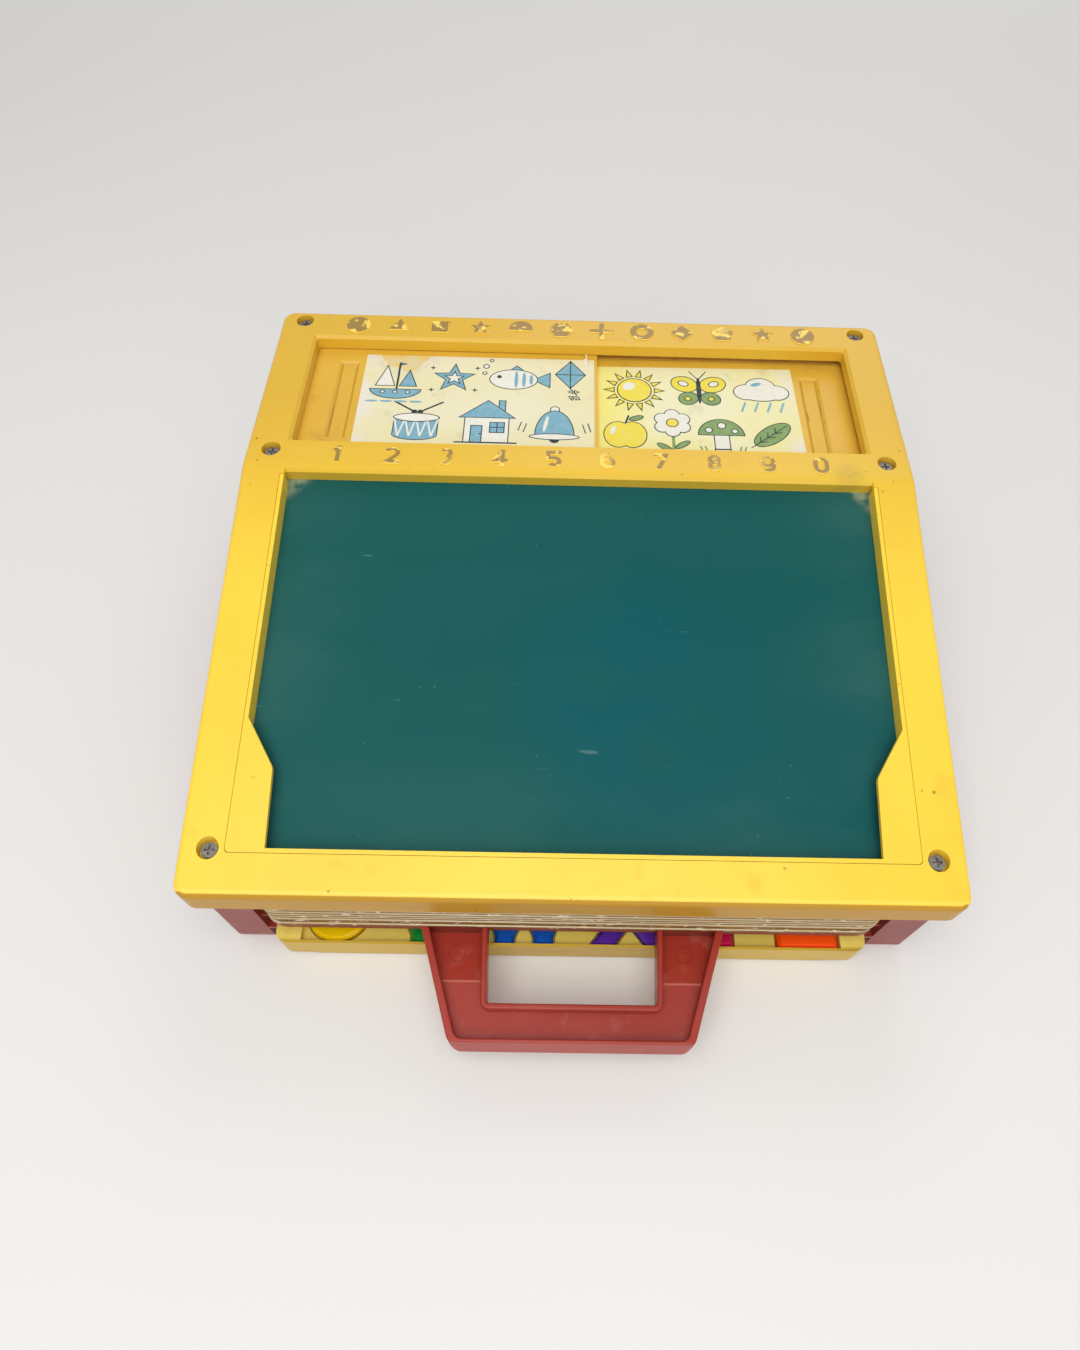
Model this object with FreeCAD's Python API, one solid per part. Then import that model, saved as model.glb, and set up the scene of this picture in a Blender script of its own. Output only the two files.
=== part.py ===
"""Toy school desk: chalkboard top, sliding doors, card shelf with a handle, letter tray.

Millimetres. +Z is up, X runs to the right and Y to the back. The desk stands on Z = 0, and the
origin is under the middle of its width and of its depth from the handle to the back edge.
"""
import FreeCAD
import Part
import math
import os
from FreeCAD import Vector

# Top frame
top_width = 355.0
overall_height = 122.5
flat_depth = 126.7
slope_depth = 216.7
slope_angle = 12.0
bend_radius = 30.0
skirt_drop = 15.5
top_wall = 3.0
top_corner_radius = 7.0
top_edge_radius = 2.6
lip_wall = 2.5
window_bevel = 1.6
window_corner_radius = 2.0

# Window over the sliding doors, measured from the bend towards the back
door_window_margin = 22.2
door_window_start = 19.5
door_window_depth = 84.7
door_lip_depth = 8.0

# Chalkboard window, measured along the slope from the bend towards the front
board_window_margin = 22.9
board_window_start = 3.6
board_window_length = 196.0
board_recess = 8.5
board_thickness = 1.2
board_edge_cover = 1.6
seam_gap = 0.25

# Card guide: thin wall round the board, and a wing over each lower corner
guide_wall = 2.0
guide_start = 2.0
wing_length = 61.0
wing_reach = 15.6
wing_slant = 24.0
wing_taper = 1.2
wing_round = 6.0
wing_thickness = 2.5

# Raised figures: a row of plain shapes on the back band, a row of numbers on the middle band
figure_rise = 0.8
figure_root = 0.5
figure_chamfer = 0.3
shape_size = 14.4
shape_row_offset = 11.7
shape_pitch = 24.0
shape_inner_share = 0.45
number_height = 12.0
number_width = 8.6
number_stroke = 2.7
number_row_offset = 8.0
number_pitch = 28.5

# Sliding doors
door_thickness = 3.2
door_clearance = 0.6
door_pitch_gap = 0.6
door_end_cover = 1.7
door_overlap = 19.4
door_edge_cover = 4.0
door_track_step = 2.0
track_clearance = 0.3
pull_width = 11.8
pull_length = 64.0
pull_inset = 27.3
pull_depth = 1.9
pull_slope = 2.2
label_thickness = 0.2
label_pull_gap = 3.6
label_depth = 74.5
label_end_gap = 1.8
label_offset = 0.5
right_label_turn = 0.8

# Chalk bin under the doors
bin_wall = 2.0
bin_flange = 2.4
bin_track_wall = 2.5
bin_depth = 40.0
bin_ledge = 6.0
bin_corner_radius = 6.0

# Base
base_side_setback = 7.5
base_side_width = 19.0
base_wall = 2.5
base_front_setback = 4.7
base_back_gap = 0.8
base_foot_radius = 4.0
base_front_radius = 1.5
base_back_radius = 8.0
base_hollow_radius = 5.5
base_floor_depth = 118.0
seat_clearance = 0.3

# Screws that hold the top on the base
screw_side_inset = 13.3
screw_back_inset = 8.6
screw_middle_offset = 11.2
screw_front_inset = 21.2
counterbore_radius = 5.0
counterbore_depth = 5.0
counterbore_wall = 1.75
screw_seat = 2.5
screw_head_radius = 3.75
screw_head_height = 2.6
screw_shank_radius = 2.0
screw_length = 24.0
screw_hole_clearance = 0.3
screw_tip_gap = 1.0
screw_cross_width = 1.1
screw_cross_span = 0.62
screw_cross_depth = 1.1
boss_radius = 4.5

# Shelf
shelf_height = 34.0
shelf_thickness = 2.5
shelf_lip_height = 5.0
shelf_lip_width = 5.0
shelf_front_setback = 1.5
shelf_side_gap = 0.3
shelf_back_stop = 24.0
guide_rib_width = 4.0
guide_rib_height = 7.0
guide_rib_setback = 14.0
ledge_width = 10.0
ledge_thickness = 2.5
ledge_rib_width = 2.0
shelf_screw_head_radius = 2.2
shelf_screw_head_height = 1.8
shelf_screw_shank_radius = 1.2
shelf_screw_length = 9.0
shelf_screw_inset = 24.0
shelf_screw_side_inset = 2.4

# Carrying handle, measured forward from the shelf's front edge
handle_root_width = 146.0
handle_grip_width = 111.0
handle_reach = 51.8
handle_lean = 2.0
handle_gap_root_width = 82.1
handle_gap_grip_width = 79.0
handle_gap_reach = 34.8
handle_gap_undercut = 2.6
handle_crease = 23.8
handle_height = 13.5
handle_rim = 2.7
handle_channel = 6.5
handle_root_channel = 9.0
handle_web = 2.0
handle_corner_radius = 7.0
handle_gap_radius = 1.5
handle_rim_round = 0.9

# Cards
card_count = 16
card_side_gap = 5.2
card_depth = 198.0
card_thickness = 1.4
card_gap = 0.1
card_corner_radius = 8.0
card_front_lead = 0.6
card_stagger = 0.5
card_stagger_turn_x = 2.4
card_stagger_turn_y = 1.7

# Letter tray
tray_side_gap = 5.0
tray_depth = 216.0
tray_front_lead = 3.3
tray_floor_gap = 0.9
tray_rim_height = 19.5
tray_rim_thickness = 2.2
tray_wall = 2.0
tray_rim_width = 1.2
tray_fascia_depth = 7.0
tray_flange = 10.0
tray_deck_margin = 2.5
tray_deck_drop = 4.0
tray_deck_thickness = 1.8
tray_corner_radius = 6.0
tray_brow = 1.5
tray_brow_end = 16.5
tray_brow_run = 6.0
rail_clearance = 1.0
rail_thickness = 2.5

# Letters
letter_height = 37.0
letter_stroke = 9.5
letter_thickness = 6.5
letter_proud = 3.6
letter_chamfer = 1.7
letter_side_gap = 1.0
letter_row_pitch = 42.0
letter_front_gap = 0.2
pocket_clearance = 1.0
pocket_wall = 1.2
magnet_radius = 3.0
magnet_thickness = 2.5
magnet_clearance = 0.1

# Places worked out from the sizes above
slope = math.radians(slope_angle)
half_top = top_width / 2
shelf_front_offset = slope_depth - shelf_front_setback
total_depth = flat_depth + shelf_front_offset + handle_reach + handle_lean
back_y = total_depth / 2
bend_y = back_y - flat_depth
front_y = bend_y - slope_depth
door_window_width = top_width - 2 * door_window_margin
board_window_width = top_width - 2 * board_window_margin
half_base = half_top - base_side_setback
half_inside = half_base - base_side_width
screw_half_spacing = half_top - screw_side_inset
card_width = 2 * (half_inside - card_side_gap)
tray_width = 2 * (half_inside - tray_side_gap)
tray_tub_width = tray_width - 2 * tray_flange
tray_deck_width = tray_tub_width - 2 * tray_deck_margin
tray_brow_width = tray_width - 2 * tray_brow_end
letter_row_width = tray_deck_width - 2 * letter_side_gap
base_front_y = front_y + base_front_setback
base_back_y = back_y - top_wall - base_back_gap
shelf_front_y = front_y + shelf_front_setback
shelf_lip_back_y = shelf_front_y + shelf_lip_width
lip_low = overall_height - door_lip_depth
upper_door_top = lip_low - door_clearance
upper_door_low = upper_door_top - door_thickness
lower_door_top = upper_door_low - door_pitch_gap
lower_door_low = lower_door_top - door_thickness
bin_flange_low = lower_door_low - bin_flange
door_window_front_y = bend_y + door_window_start
door_window_back_y = door_window_front_y + door_window_depth
upper_door_front_y = door_window_front_y - door_edge_cover
upper_door_back_y = door_window_back_y + door_edge_cover
door_run = door_window_width / 2 + door_end_cover
label_width = door_run - pull_inset - label_pull_gap + door_overlap / 2 - label_end_gap
bin_front_y = upper_door_front_y - track_clearance - bin_track_wall
bin_back_y = upper_door_back_y + track_clearance + bin_track_wall
half_bin = door_run + track_clearance + bin_track_wall
board_low_depth = board_recess + board_thickness
tray_front_y = front_y - tray_front_lead
tray_back_y = tray_front_y + tray_depth
deck_height = tray_rim_height - tray_deck_drop
letter_low = deck_height + letter_proud - letter_thickness
rail_height = tray_rim_height - tray_rim_thickness
card_front_y = shelf_front_y - card_front_lead
card_back_y = card_front_y + card_depth
shelf_back_y = card_back_y + shelf_side_gap + shelf_thickness + card_stagger
shelf_corner_radius = card_corner_radius + card_side_gap - shelf_side_gap


def save(shape, name):
    """Write one piece, after a check that it is sound."""
    if not shape.isValid():
        raise ValueError(name + " is not a valid shape")
    shape.exportStep("parts/" + name + ".step")
    print(name, len(shape.Solids), round(shape.Volume / 1000, 2), "cm3")


def box(x0, x1, y0, y1, z0, z1):
    return Part.makeBox(x1 - x0, y1 - y0, z1 - z0, Vector(x0, y0, z0))


def post(x, y, z0, z1, radius):
    return Part.makeCylinder(radius, z1 - z0, Vector(x, y, z0))


def flat_wire(points):
    return Part.makePolygon(points + [points[0]])


def yz_prism(points, x0, x1):
    """Solid with a side outline of (y, z) points, between two places along X."""
    face = Part.Face(flat_wire([Vector(x0, y, z) for y, z in points]))
    return face.extrude(Vector(x1 - x0, 0, 0))


def xy_prism(points, z0, z1):
    """Solid with a plan outline of (x, y) points, between two heights."""
    face = Part.Face(flat_wire([Vector(x, y, z0) for x, y in points]))
    return face.extrude(Vector(0, 0, z1 - z0))


def upright_edges(shape):
    """Edges that run straight up."""
    found = []
    for edge in shape.Edges:
        ends = [vertex.Point for vertex in edge.Vertexes]
        if len(ends) == 2 and abs((ends[1] - ends[0]).normalize().z) > 0.999:
            found.append(edge)
    return found


def rounded_box(x0, x1, y0, y1, z0, z1, radius):
    block = box(x0, x1, y0, y1, z0, z1)
    return block.makeFillet(radius, upright_edges(block))


def ring(x0, x1, y0, y1, z0, z1, wall, radius):
    """Upright wall round a rectangular window."""
    outer = rounded_box(x0 - wall, x1 + wall, y0 - wall, y1 + wall, z0, z1, radius + wall)
    return outer.cut(rounded_box(x0, x1, y0, y1, z0, z1, radius))


def flared_window(x0, x1, y0, y1, z, flare):
    """Cutter that opens a window's edge upwards by a bevel below height z."""
    low = flat_wire(rectangle(x0, x1, y0, y1, z - flare))
    high = flat_wire(rectangle(x0 - 2 * flare, x1 + 2 * flare, y0 - 2 * flare, y1 + 2 * flare, z + flare))
    return Part.makeLoft([low, high], True, True)


def rectangle(x0, x1, y0, y1, z):
    return [Vector(x0, y0, z), Vector(x1, y0, z), Vector(x1, y1, z), Vector(x0, y1, z)]


def tilted(shape):
    """Put a piece made flat, with the bend at y = 0 and the surface at z = 0, on the slope."""
    placed = shape.copy()
    placed.rotate(Vector(0, 0, 0), Vector(1, 0, 0), slope_angle)
    placed.translate(Vector(0, bend_y, overall_height))
    return placed


def roof_z(y, depth=0.0):
    """Height of the top's surface at plan place y, or of a face at a depth square below it."""
    corner_y = bend_y + depth * math.tan(slope / 2)
    return overall_height - depth - max(0.0, corner_y - y) * math.tan(slope)


def roof_block(x0, x1, y0, y1, depth, low):
    """Solid under the top's surface, from a depth below it down to a level floor."""
    corner_y = bend_y + depth * math.tan(slope / 2)
    outline = [(y0, low), (y0, roof_z(y0, depth)), (corner_y, roof_z(corner_y, depth))]
    outline += [(y1, roof_z(y1, depth)), (y1, low)]
    return yz_prism(outline, x0, x1)


def both_sides(shape):
    """A piece on the right and its mirror image on the left."""
    return [shape, shape.mirror(Vector(0, 0, 0), Vector(1, 0, 0))]


def fuse_all(shapes):
    return shapes[0].multiFuse(shapes[1:]).removeSplitter()


def screw_places():
    """Plan place of each screw that holds the top on."""
    rows = [back_y - screw_back_inset, bend_y + screw_middle_offset, front_y + screw_front_inset]
    return [(side * screw_half_spacing, y) for y in rows for side in (-1, 1)]


def screw_seat_z(y):
    return roof_z(y) - counterbore_depth


def make_top_frame():
    """Flat band and writing frame in one moulding, with a skirt all round."""
    block = roof_block(-half_top, half_top, front_y, back_y, 0.0, 0.0)
    bend = [edge for edge in block.Edges if abs(edge.CenterOfMass.y - bend_y) < 0.01
            and edge.BoundBox.XLength > top_width / 2]
    block = block.makeFillet(bend_radius, bend)
    outline = rounded_box(-half_top, half_top, front_y, back_y, 0.0, overall_height, top_corner_radius)
    block = block.common(outline).removeSplitter()
    rim = [edge for edge in block.Edges if on_top_rim(edge)]
    block = block.makeFillet(top_edge_radius, rim)

    inner_radius = max(top_corner_radius - top_wall, 1.0)
    cavity = rounded_box(-half_top + top_wall, half_top - top_wall, front_y + top_wall, back_y - top_wall,
                         -1.0, overall_height, inner_radius)
    cavity = cavity.common(roof_block(-half_top, half_top, front_y, back_y, top_wall, -1.0))
    below = yz_prism([(front_y - 1, -1), (front_y - 1, roof_z(front_y - 1) - skirt_drop),
                      (bend_y, overall_height - skirt_drop), (back_y + 1, overall_height - skirt_drop),
                      (back_y + 1, -1)], -half_top - 1, half_top + 1)
    shell = block.cut(cavity).cut(below)

    half_window = door_window_width / 2
    door_lip = ring(-half_window, half_window, door_window_front_y, door_window_back_y, lip_low,
                    overall_height - top_wall / 2, lip_wall, window_corner_radius)
    half_board = board_window_width / 2 + guide_wall + seam_gap
    board_end = board_window_start + board_window_length + guide_wall + seam_gap
    board_lip = tilted(ring(-half_board, half_board, -board_end, -board_window_start, -board_recess,
                            -top_wall / 2, lip_wall, window_corner_radius))
    tubes = [post(x, y, screw_seat_z(y) - screw_seat, overall_height, counterbore_radius + counterbore_wall)
             for x, y in screw_places()]
    trim = roof_block(-half_top, half_top, front_y, back_y, top_wall / 2, 0.0)
    shell = fuse_all([shell, door_lip, board_lip] + [tube.common(trim) for tube in tubes])
    shell = fuse_all([shell] + make_shape_row() + make_number_row())

    cuts = [rounded_box(-half_window, half_window, door_window_front_y, door_window_back_y, lip_low - 1,
                        overall_height + 1, window_corner_radius)]
    cuts.append(flared_window(-half_window, half_window, door_window_front_y, door_window_back_y,
                              overall_height, window_bevel))
    guide_end = -board_window_start - guide_start
    guide_room = [(-half_board, -board_end), (half_board, -board_end), (half_board, guide_end),
                  (-half_board, guide_end)]
    cuts.append(tilted(rounded_at(guide_room, -board_recess - 1, top_wall, window_corner_radius,
                                  guide_end - 1)))
    plain_half = board_window_width / 2
    cuts.append(tilted(box(-plain_half, plain_half, guide_end - 1, -board_window_start, -board_recess - 1,
                           top_wall)))
    bevel = yz_prism([(-board_window_start, -window_bevel),
                      (-board_window_start + 2 * window_bevel, window_bevel),
                      (-board_window_start, window_bevel)], -plain_half, plain_half)
    cuts.append(tilted(bevel))
    for x, y in screw_places():
        cuts.append(post(x, y, screw_seat_z(y), overall_height + 1, counterbore_radius))
        cuts.append(post(x, y, 0, overall_height, screw_shank_radius + screw_hole_clearance))
    return shell.cut(cuts)


def regular_points(count, radius, turn, inner=None):
    """Corners of a regular figure about 0, 0; with an inner radius, of a star with that many points."""
    radii = [radius] if inner is None else [radius, inner]
    total = count * len(radii)
    points = []
    for index in range(total):
        angle = math.radians(turn + 360.0 * index / total)
        reach = radii[index % len(radii)]
        points.append((reach * math.cos(angle), reach * math.sin(angle)))
    return points


def make_shape(kind, low, high):
    """One plain raised shape about 0, 0."""
    half = shape_size / 2
    inner = half * shape_inner_share
    corners = {
        "triangle": regular_points(3, half, 90),
        "square": regular_points(4, half, 45),
        "diamond": regular_points(4, half, 0),
        "pentagon": regular_points(5, half, 90),
        "hexagon": regular_points(6, half, 0),
        "star": regular_points(5, half, 90, inner),
        "cross": [(half, inner / 2), (inner / 2, inner / 2), (inner / 2, half), (-inner / 2, half),
                  (-inner / 2, inner / 2), (-half, inner / 2), (-half, -inner / 2), (-inner / 2, -inner / 2),
                  (-inner / 2, -half), (inner / 2, -half), (inner / 2, -inner / 2), (half, -inner / 2)],
    }
    if kind in corners:
        return xy_prism(corners[kind], low, high)
    disc = post(0, 0, low, high, half)
    if kind == "ring":
        return disc.cut(post(0, 0, low, high, inner))
    if kind == "half disc":
        return disc.common(box(-half, half, -inner / 2, half, low, high))
    return disc


def bevelled(solid, top, chamfer):
    """A raised piece with the edges of its top face bevelled."""
    return solid.makeChamfer(chamfer, [edge for edge in solid.Edges if abs(edge.BoundBox.ZMin - top) < 0.01])


def make_shape_row():
    """Plain shapes along the back band, from left to right."""
    kinds = ["disc", "triangle", "square", "star", "half disc", "hexagon", "cross", "ring", "diamond",
             "pentagon", "star", "disc"]
    top = overall_height + figure_rise
    row = []
    for index, kind in enumerate(kinds):
        shape = bevelled(make_shape(kind, overall_height - figure_root, top), top, figure_chamfer)
        x = (index - (len(kinds) - 1) / 2) * shape_pitch
        shape.translate(Vector(x, back_y - shape_row_offset, 0))
        row.append(shape)
    return row


def number_strokes(name):
    """Bars and bends of a number, given as letter_strokes gives them."""
    wide = number_width - number_stroke
    tall = number_height - number_stroke
    big = wide / 2
    small = tall / 4
    loop = 0.28 * tall
    reach = big * math.sqrt(0.5)
    drop = tall - big - reach
    left = (0, big, 0, tall - big, "none")
    right = (wide, big, wide, tall - big, "none")
    top_ring = (big, tall - big, big, 0, 180, "none")
    low_ring = (big, big, big, 180, 360, "none")
    numbers = {
        "0": ([left, right], [top_ring, low_ring]),
        "1": ([(big, 0, big, tall, "both"), (0.1 * wide, 0.72 * tall, big, tall, "none")], []),
        "2": ([(0, 0, wide, 0, "both"), (big + reach, drop, big + reach - drop, 0, "none")],
              [(big, tall - big, big, -45, 165, "end")]),
        "3": ([], [(big, tall - small, small, -90, 150, "end"), (big, small, small, -150, 90, "start")]),
        "4": ([(0.72 * wide, 0, 0.72 * wide, tall, "both"), (0, 0.28 * tall, wide, 0.28 * tall, "both"),
               (0, 0.28 * tall, 0.72 * wide, tall, "none")], []),
        "5": ([(0, tall, wide, tall, "both"), (0, tall, 0, 2 * loop, "end"),
               (0, 2 * loop, wide - loop, 2 * loop, "none")], [(wide - loop, loop, loop, -150, 90, "start")]),
        "6": ([left], [(big, big, big, 0, 360, "none"), (big, tall - big, big, 45, 180, "start")]),
        "7": ([(0, tall, wide, tall, "both"), (wide, tall, 0.3 * wide, 0, "both")], []),
        "8": ([], [(big, small, small, 0, 360, "none"), (big, tall - small, small, 0, 360, "none")]),
        "9": ([right], [(big, tall - big, big, 0, 360, "none"), (big, big, big, 225, 360, "start")]),
    }
    return numbers[name]


def make_number_row():
    """Numbers along the middle band, from left to right."""
    names = "1234567890"
    top = overall_height + figure_rise
    row = []
    for index, name in enumerate(names):
        solid = stroke_block(number_strokes(name), number_width, number_height, number_stroke, (), 0.0,
                             overall_height - figure_root, top)
        solid = bevelled(solid, top, figure_chamfer)
        x = (index - (len(names) - 1) / 2) * number_pitch - number_width / 2
        solid.translate(Vector(x, bend_y + number_row_offset - number_height / 2, 0))
        row.append(solid)
    return row


def on_top_rim(edge):
    """True for the outer edges of the top's surface, all round its plan outline."""
    middle = edge.valueAt((edge.FirstParameter + edge.LastParameter) / 2)
    near_side = abs(abs(middle.x) - half_top) < top_corner_radius / 2
    near_end = min(abs(middle.y - back_y), abs(middle.y - front_y)) < top_corner_radius / 2
    return (near_side or near_end) and abs(middle.z - roof_z(middle.y)) < 1.0


def wing_points(z):
    """Outline of the right-hand wing on the slope, from the board's side to its lower edge."""
    side = board_window_width / 2
    low = -board_window_start - board_window_length
    high = low + wing_length
    inner = side - wing_reach
    return [Vector(side + guide_wall, high, z), Vector(side, high, z),
            Vector(inner + wing_taper, high - wing_slant, z), Vector(inner, low, z),
            Vector(side + guide_wall, low, z)]


def make_card_guide():
    """Thin wall round three sides of the board, with a wing over each lower corner."""
    side = board_window_width / 2
    low = -board_window_start - board_window_length
    high = -board_window_start - guide_start - seam_gap
    outer = rounded_box(-side - guide_wall, side + guide_wall, low - guide_wall, high + guide_wall,
                        -board_recess, 0.0, window_corner_radius)
    inside = box(-side, side, low, high + 2 * guide_wall, -board_recess, 0.0)
    past_end = box(-side - guide_wall, side + guide_wall, high, high + 2 * guide_wall, -board_recess, 0.0)
    walls = outer.cut([inside, past_end])
    wing = Part.Face(flat_wire(wing_points(-wing_thickness))).extrude(Vector(0, 0, wing_thickness))
    bump = [edge for edge in upright_edges(wing)
            if abs(edge.CenterOfMass.x - (side - wing_reach + wing_taper)) < 0.01]
    wing = wing.makeFillet(wing_round, bump)
    return tilted(fuse_all([walls] + both_sides(wing)))


def make_chalkboard():
    half = board_window_width / 2 + guide_wall + seam_gap + board_edge_cover
    low = -board_window_start - board_window_length - guide_wall - seam_gap - board_edge_cover
    high = -board_window_start + board_edge_cover
    return tilted(rounded_box(-half, half, low, high, -board_low_depth, -board_recess, window_corner_radius))


def make_door(side, top, edge_inset):
    """Sliding door with a finger pull near its outer end; side is -1 for the left one."""
    x0, x1 = sorted((side * door_run, -side * door_overlap / 2))
    front = upper_door_front_y + edge_inset
    back = upper_door_back_y - edge_inset
    panel = box(x0, x1, front, back, top - door_thickness, top)
    middle_x = side * (door_run - pull_inset + pull_width / 2)
    middle_y = (front + back) / 2
    pull = []
    for inset, z in ((pull_slope, top - pull_depth), (0.0, top)):
        half_x = pull_width / 2 - inset
        half_y = pull_length / 2 - inset
        pull.append(flat_wire(rectangle(middle_x - half_x, middle_x + half_x, middle_y - half_y,
                                        middle_y + half_y, z)))
    return panel.cut(Part.makeLoft(pull, True, True))


def make_label(side, top, turn):
    """Paper sheet glued on a door, up to its inner end, a little askew by a turn in degrees."""
    inner = -side * (door_overlap / 2 - label_end_gap)
    x0, x1 = sorted((inner, inner + side * label_width))
    middle_y = (upper_door_front_y + upper_door_back_y) / 2 + label_offset
    sheet = box(x0, x1, middle_y - label_depth / 2, middle_y + label_depth / 2, top, top + label_thickness)
    sheet.rotate(Vector((x0 + x1) / 2, middle_y, top), Vector(0, 0, 1), turn)
    return sheet


def make_chalk_bin():
    """Tub for chalk, with a flange that carries the lower and the upper door track."""
    ledge = door_edge_cover + track_clearance + bin_track_wall
    flange = box(-half_bin, half_bin, bin_front_y, bin_back_y, bin_flange_low, upper_door_low)
    lower_track = box(-half_bin + bin_track_wall, half_bin - bin_track_wall,
                      upper_door_front_y + door_track_step - track_clearance,
                      upper_door_back_y - door_track_step + track_clearance, lower_door_low, upper_door_low)
    flange = flange.cut(lower_track)
    walls = []
    for y in (bin_front_y, bin_back_y - bin_track_wall):
        walls.append(box(-half_bin, half_bin, y, y + bin_track_wall, upper_door_low,
                         overall_height - top_wall))
    for x in (-half_bin, half_bin - bin_track_wall):
        walls.append(box(x, x + bin_track_wall, bin_front_y, bin_back_y, upper_door_low,
                         lip_low - track_clearance))
    half_tub = half_inside - seat_clearance - bin_wall
    tub_front = bin_front_y + ledge + bin_ledge
    tub_back = bin_back_y - ledge - bin_ledge
    tub = rounded_box(-half_tub - bin_wall, half_tub + bin_wall, tub_front - bin_wall, tub_back + bin_wall,
                      bin_flange_low - bin_depth - bin_wall, bin_flange_low, bin_corner_radius + bin_wall)
    well = rounded_box(-half_tub, half_tub, tub_front, tub_back, bin_flange_low - bin_depth,
                       overall_height, bin_corner_radius)
    tube_room = counterbore_radius + counterbore_wall + seat_clearance
    clear = [post(x, y, 0, overall_height, tube_room) for x, y in screw_places()]
    return fuse_all([flange, tub] + walls).cut([well] + clear)


def make_base_block():
    """Outer form of the base, with its feet and upright corners rounded."""
    block = roof_block(-half_base, half_base, base_front_y, base_back_y, board_low_depth, 0.0)
    for place_y, radius in ((base_back_y, base_back_radius), (base_front_y, base_front_radius)):
        corners = [edge for edge in upright_edges(block) if abs(edge.CenterOfMass.y - place_y) < 0.01]
        block = block.makeFillet(radius, corners)
    return block.makeFillet(base_foot_radius, [edge for edge in block.Edges if edge.BoundBox.ZMax < 0.01])


def make_base_frame():
    """Hollow sides, back wall, floor behind the tray, tray rails and shelf ledges."""
    floor_front_y = base_back_y - base_floor_depth
    tunnel = box(-half_inside, half_inside, base_front_y - 1, floor_front_y, -1.0, overall_height)
    room = box(-half_inside, half_inside, floor_front_y - 1, base_back_y - base_wall, base_wall,
               overall_height)
    hollow = rounded_box(half_inside + base_wall, half_base - base_wall, base_front_y + base_wall,
                         base_back_y - base_wall, base_foot_radius, overall_height, base_hollow_radius)
    shell = make_base_block().cut([tunnel, room] + both_sides(hollow))

    ledge_top = shelf_height - shelf_thickness
    ledge_low = ledge_top - ledge_thickness
    ledge_x = half_inside - ledge_width
    ledge = box(ledge_x, half_inside, shelf_lip_back_y, shelf_back_y, ledge_low, ledge_top)
    rib = box(ledge_x, ledge_x + ledge_rib_width, shelf_lip_back_y, shelf_back_y,
              tray_rim_height + rail_clearance / 2, ledge_low)
    rail = box(tray_tub_width / 2 + rail_clearance, half_inside, base_front_y, tray_back_y,
               rail_height - rail_thickness, rail_height)
    pieces = [shell]
    for runner in (ledge, rib, rail):
        pieces += both_sides(runner)
    pieces += [post(x, y, base_wall, screw_seat_z(y) - screw_seat, boss_radius) for x, y in screw_places()]
    frame = fuse_all(pieces)

    seat = box(-half_bin - seat_clearance, half_bin + seat_clearance, bin_front_y - seat_clearance,
               bin_back_y + seat_clearance, bin_flange_low, overall_height)
    seat = seat.cut([post(x, y, 0, overall_height, boss_radius) for x, y in screw_places()])
    cuts = [seat]
    for x, y in screw_places():
        cuts.append(post(x, y, screw_seat_z(y) - screw_length, overall_height,
                         screw_shank_radius + screw_hole_clearance))
    for x, y in shelf_screw_places():
        cuts.append(post(x, y, ledge_low - 1, ledge_top + 1, shelf_screw_shank_radius + screw_hole_clearance))
    return frame.cut(cuts)


def shelf_screw_places():
    x = half_inside - shelf_screw_side_inset
    rows = (shelf_front_y + shelf_screw_inset, shelf_back_y - shelf_screw_inset)
    return [(side * x, y) for y in rows for side in (-1, 1)]


def handle_outline(inset):
    """Plan outline of the handle, moved inwards by an inset on its sides and grip."""
    back = shelf_lip_back_y
    tip = shelf_front_y - handle_reach - handle_lean
    root = handle_root_width / 2
    grip = handle_grip_width / 2
    lean = (root - grip) / (handle_reach + handle_lean)
    side = inset * math.hypot(1.0, lean)
    root_back = root + lean * shelf_lip_width
    return [(root_back - side, back), (grip + lean * inset - side, tip + inset),
            (-grip - lean * inset + side, tip + inset), (-root_back + side, back)]


def gap_outline(inset):
    """Plan outline of the finger gap, which starts under the shelf's lip, moved outwards by an inset."""
    back = shelf_front_y + handle_gap_undercut
    tip = shelf_front_y - handle_gap_reach
    root = handle_gap_root_width / 2 + inset
    grip = handle_gap_grip_width / 2 + inset
    return [(root, back), (grip, tip - inset), (-grip, tip - inset), (-root, back)]


def rounded_at(points, z0, z1, radius, y_limit):
    """Prism with its upright edges in front of a place rounded."""
    block = xy_prism(points, z0, z1)
    return block.makeFillet(radius, [edge for edge in upright_edges(block) if edge.CenterOfMass.y < y_limit])


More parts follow.
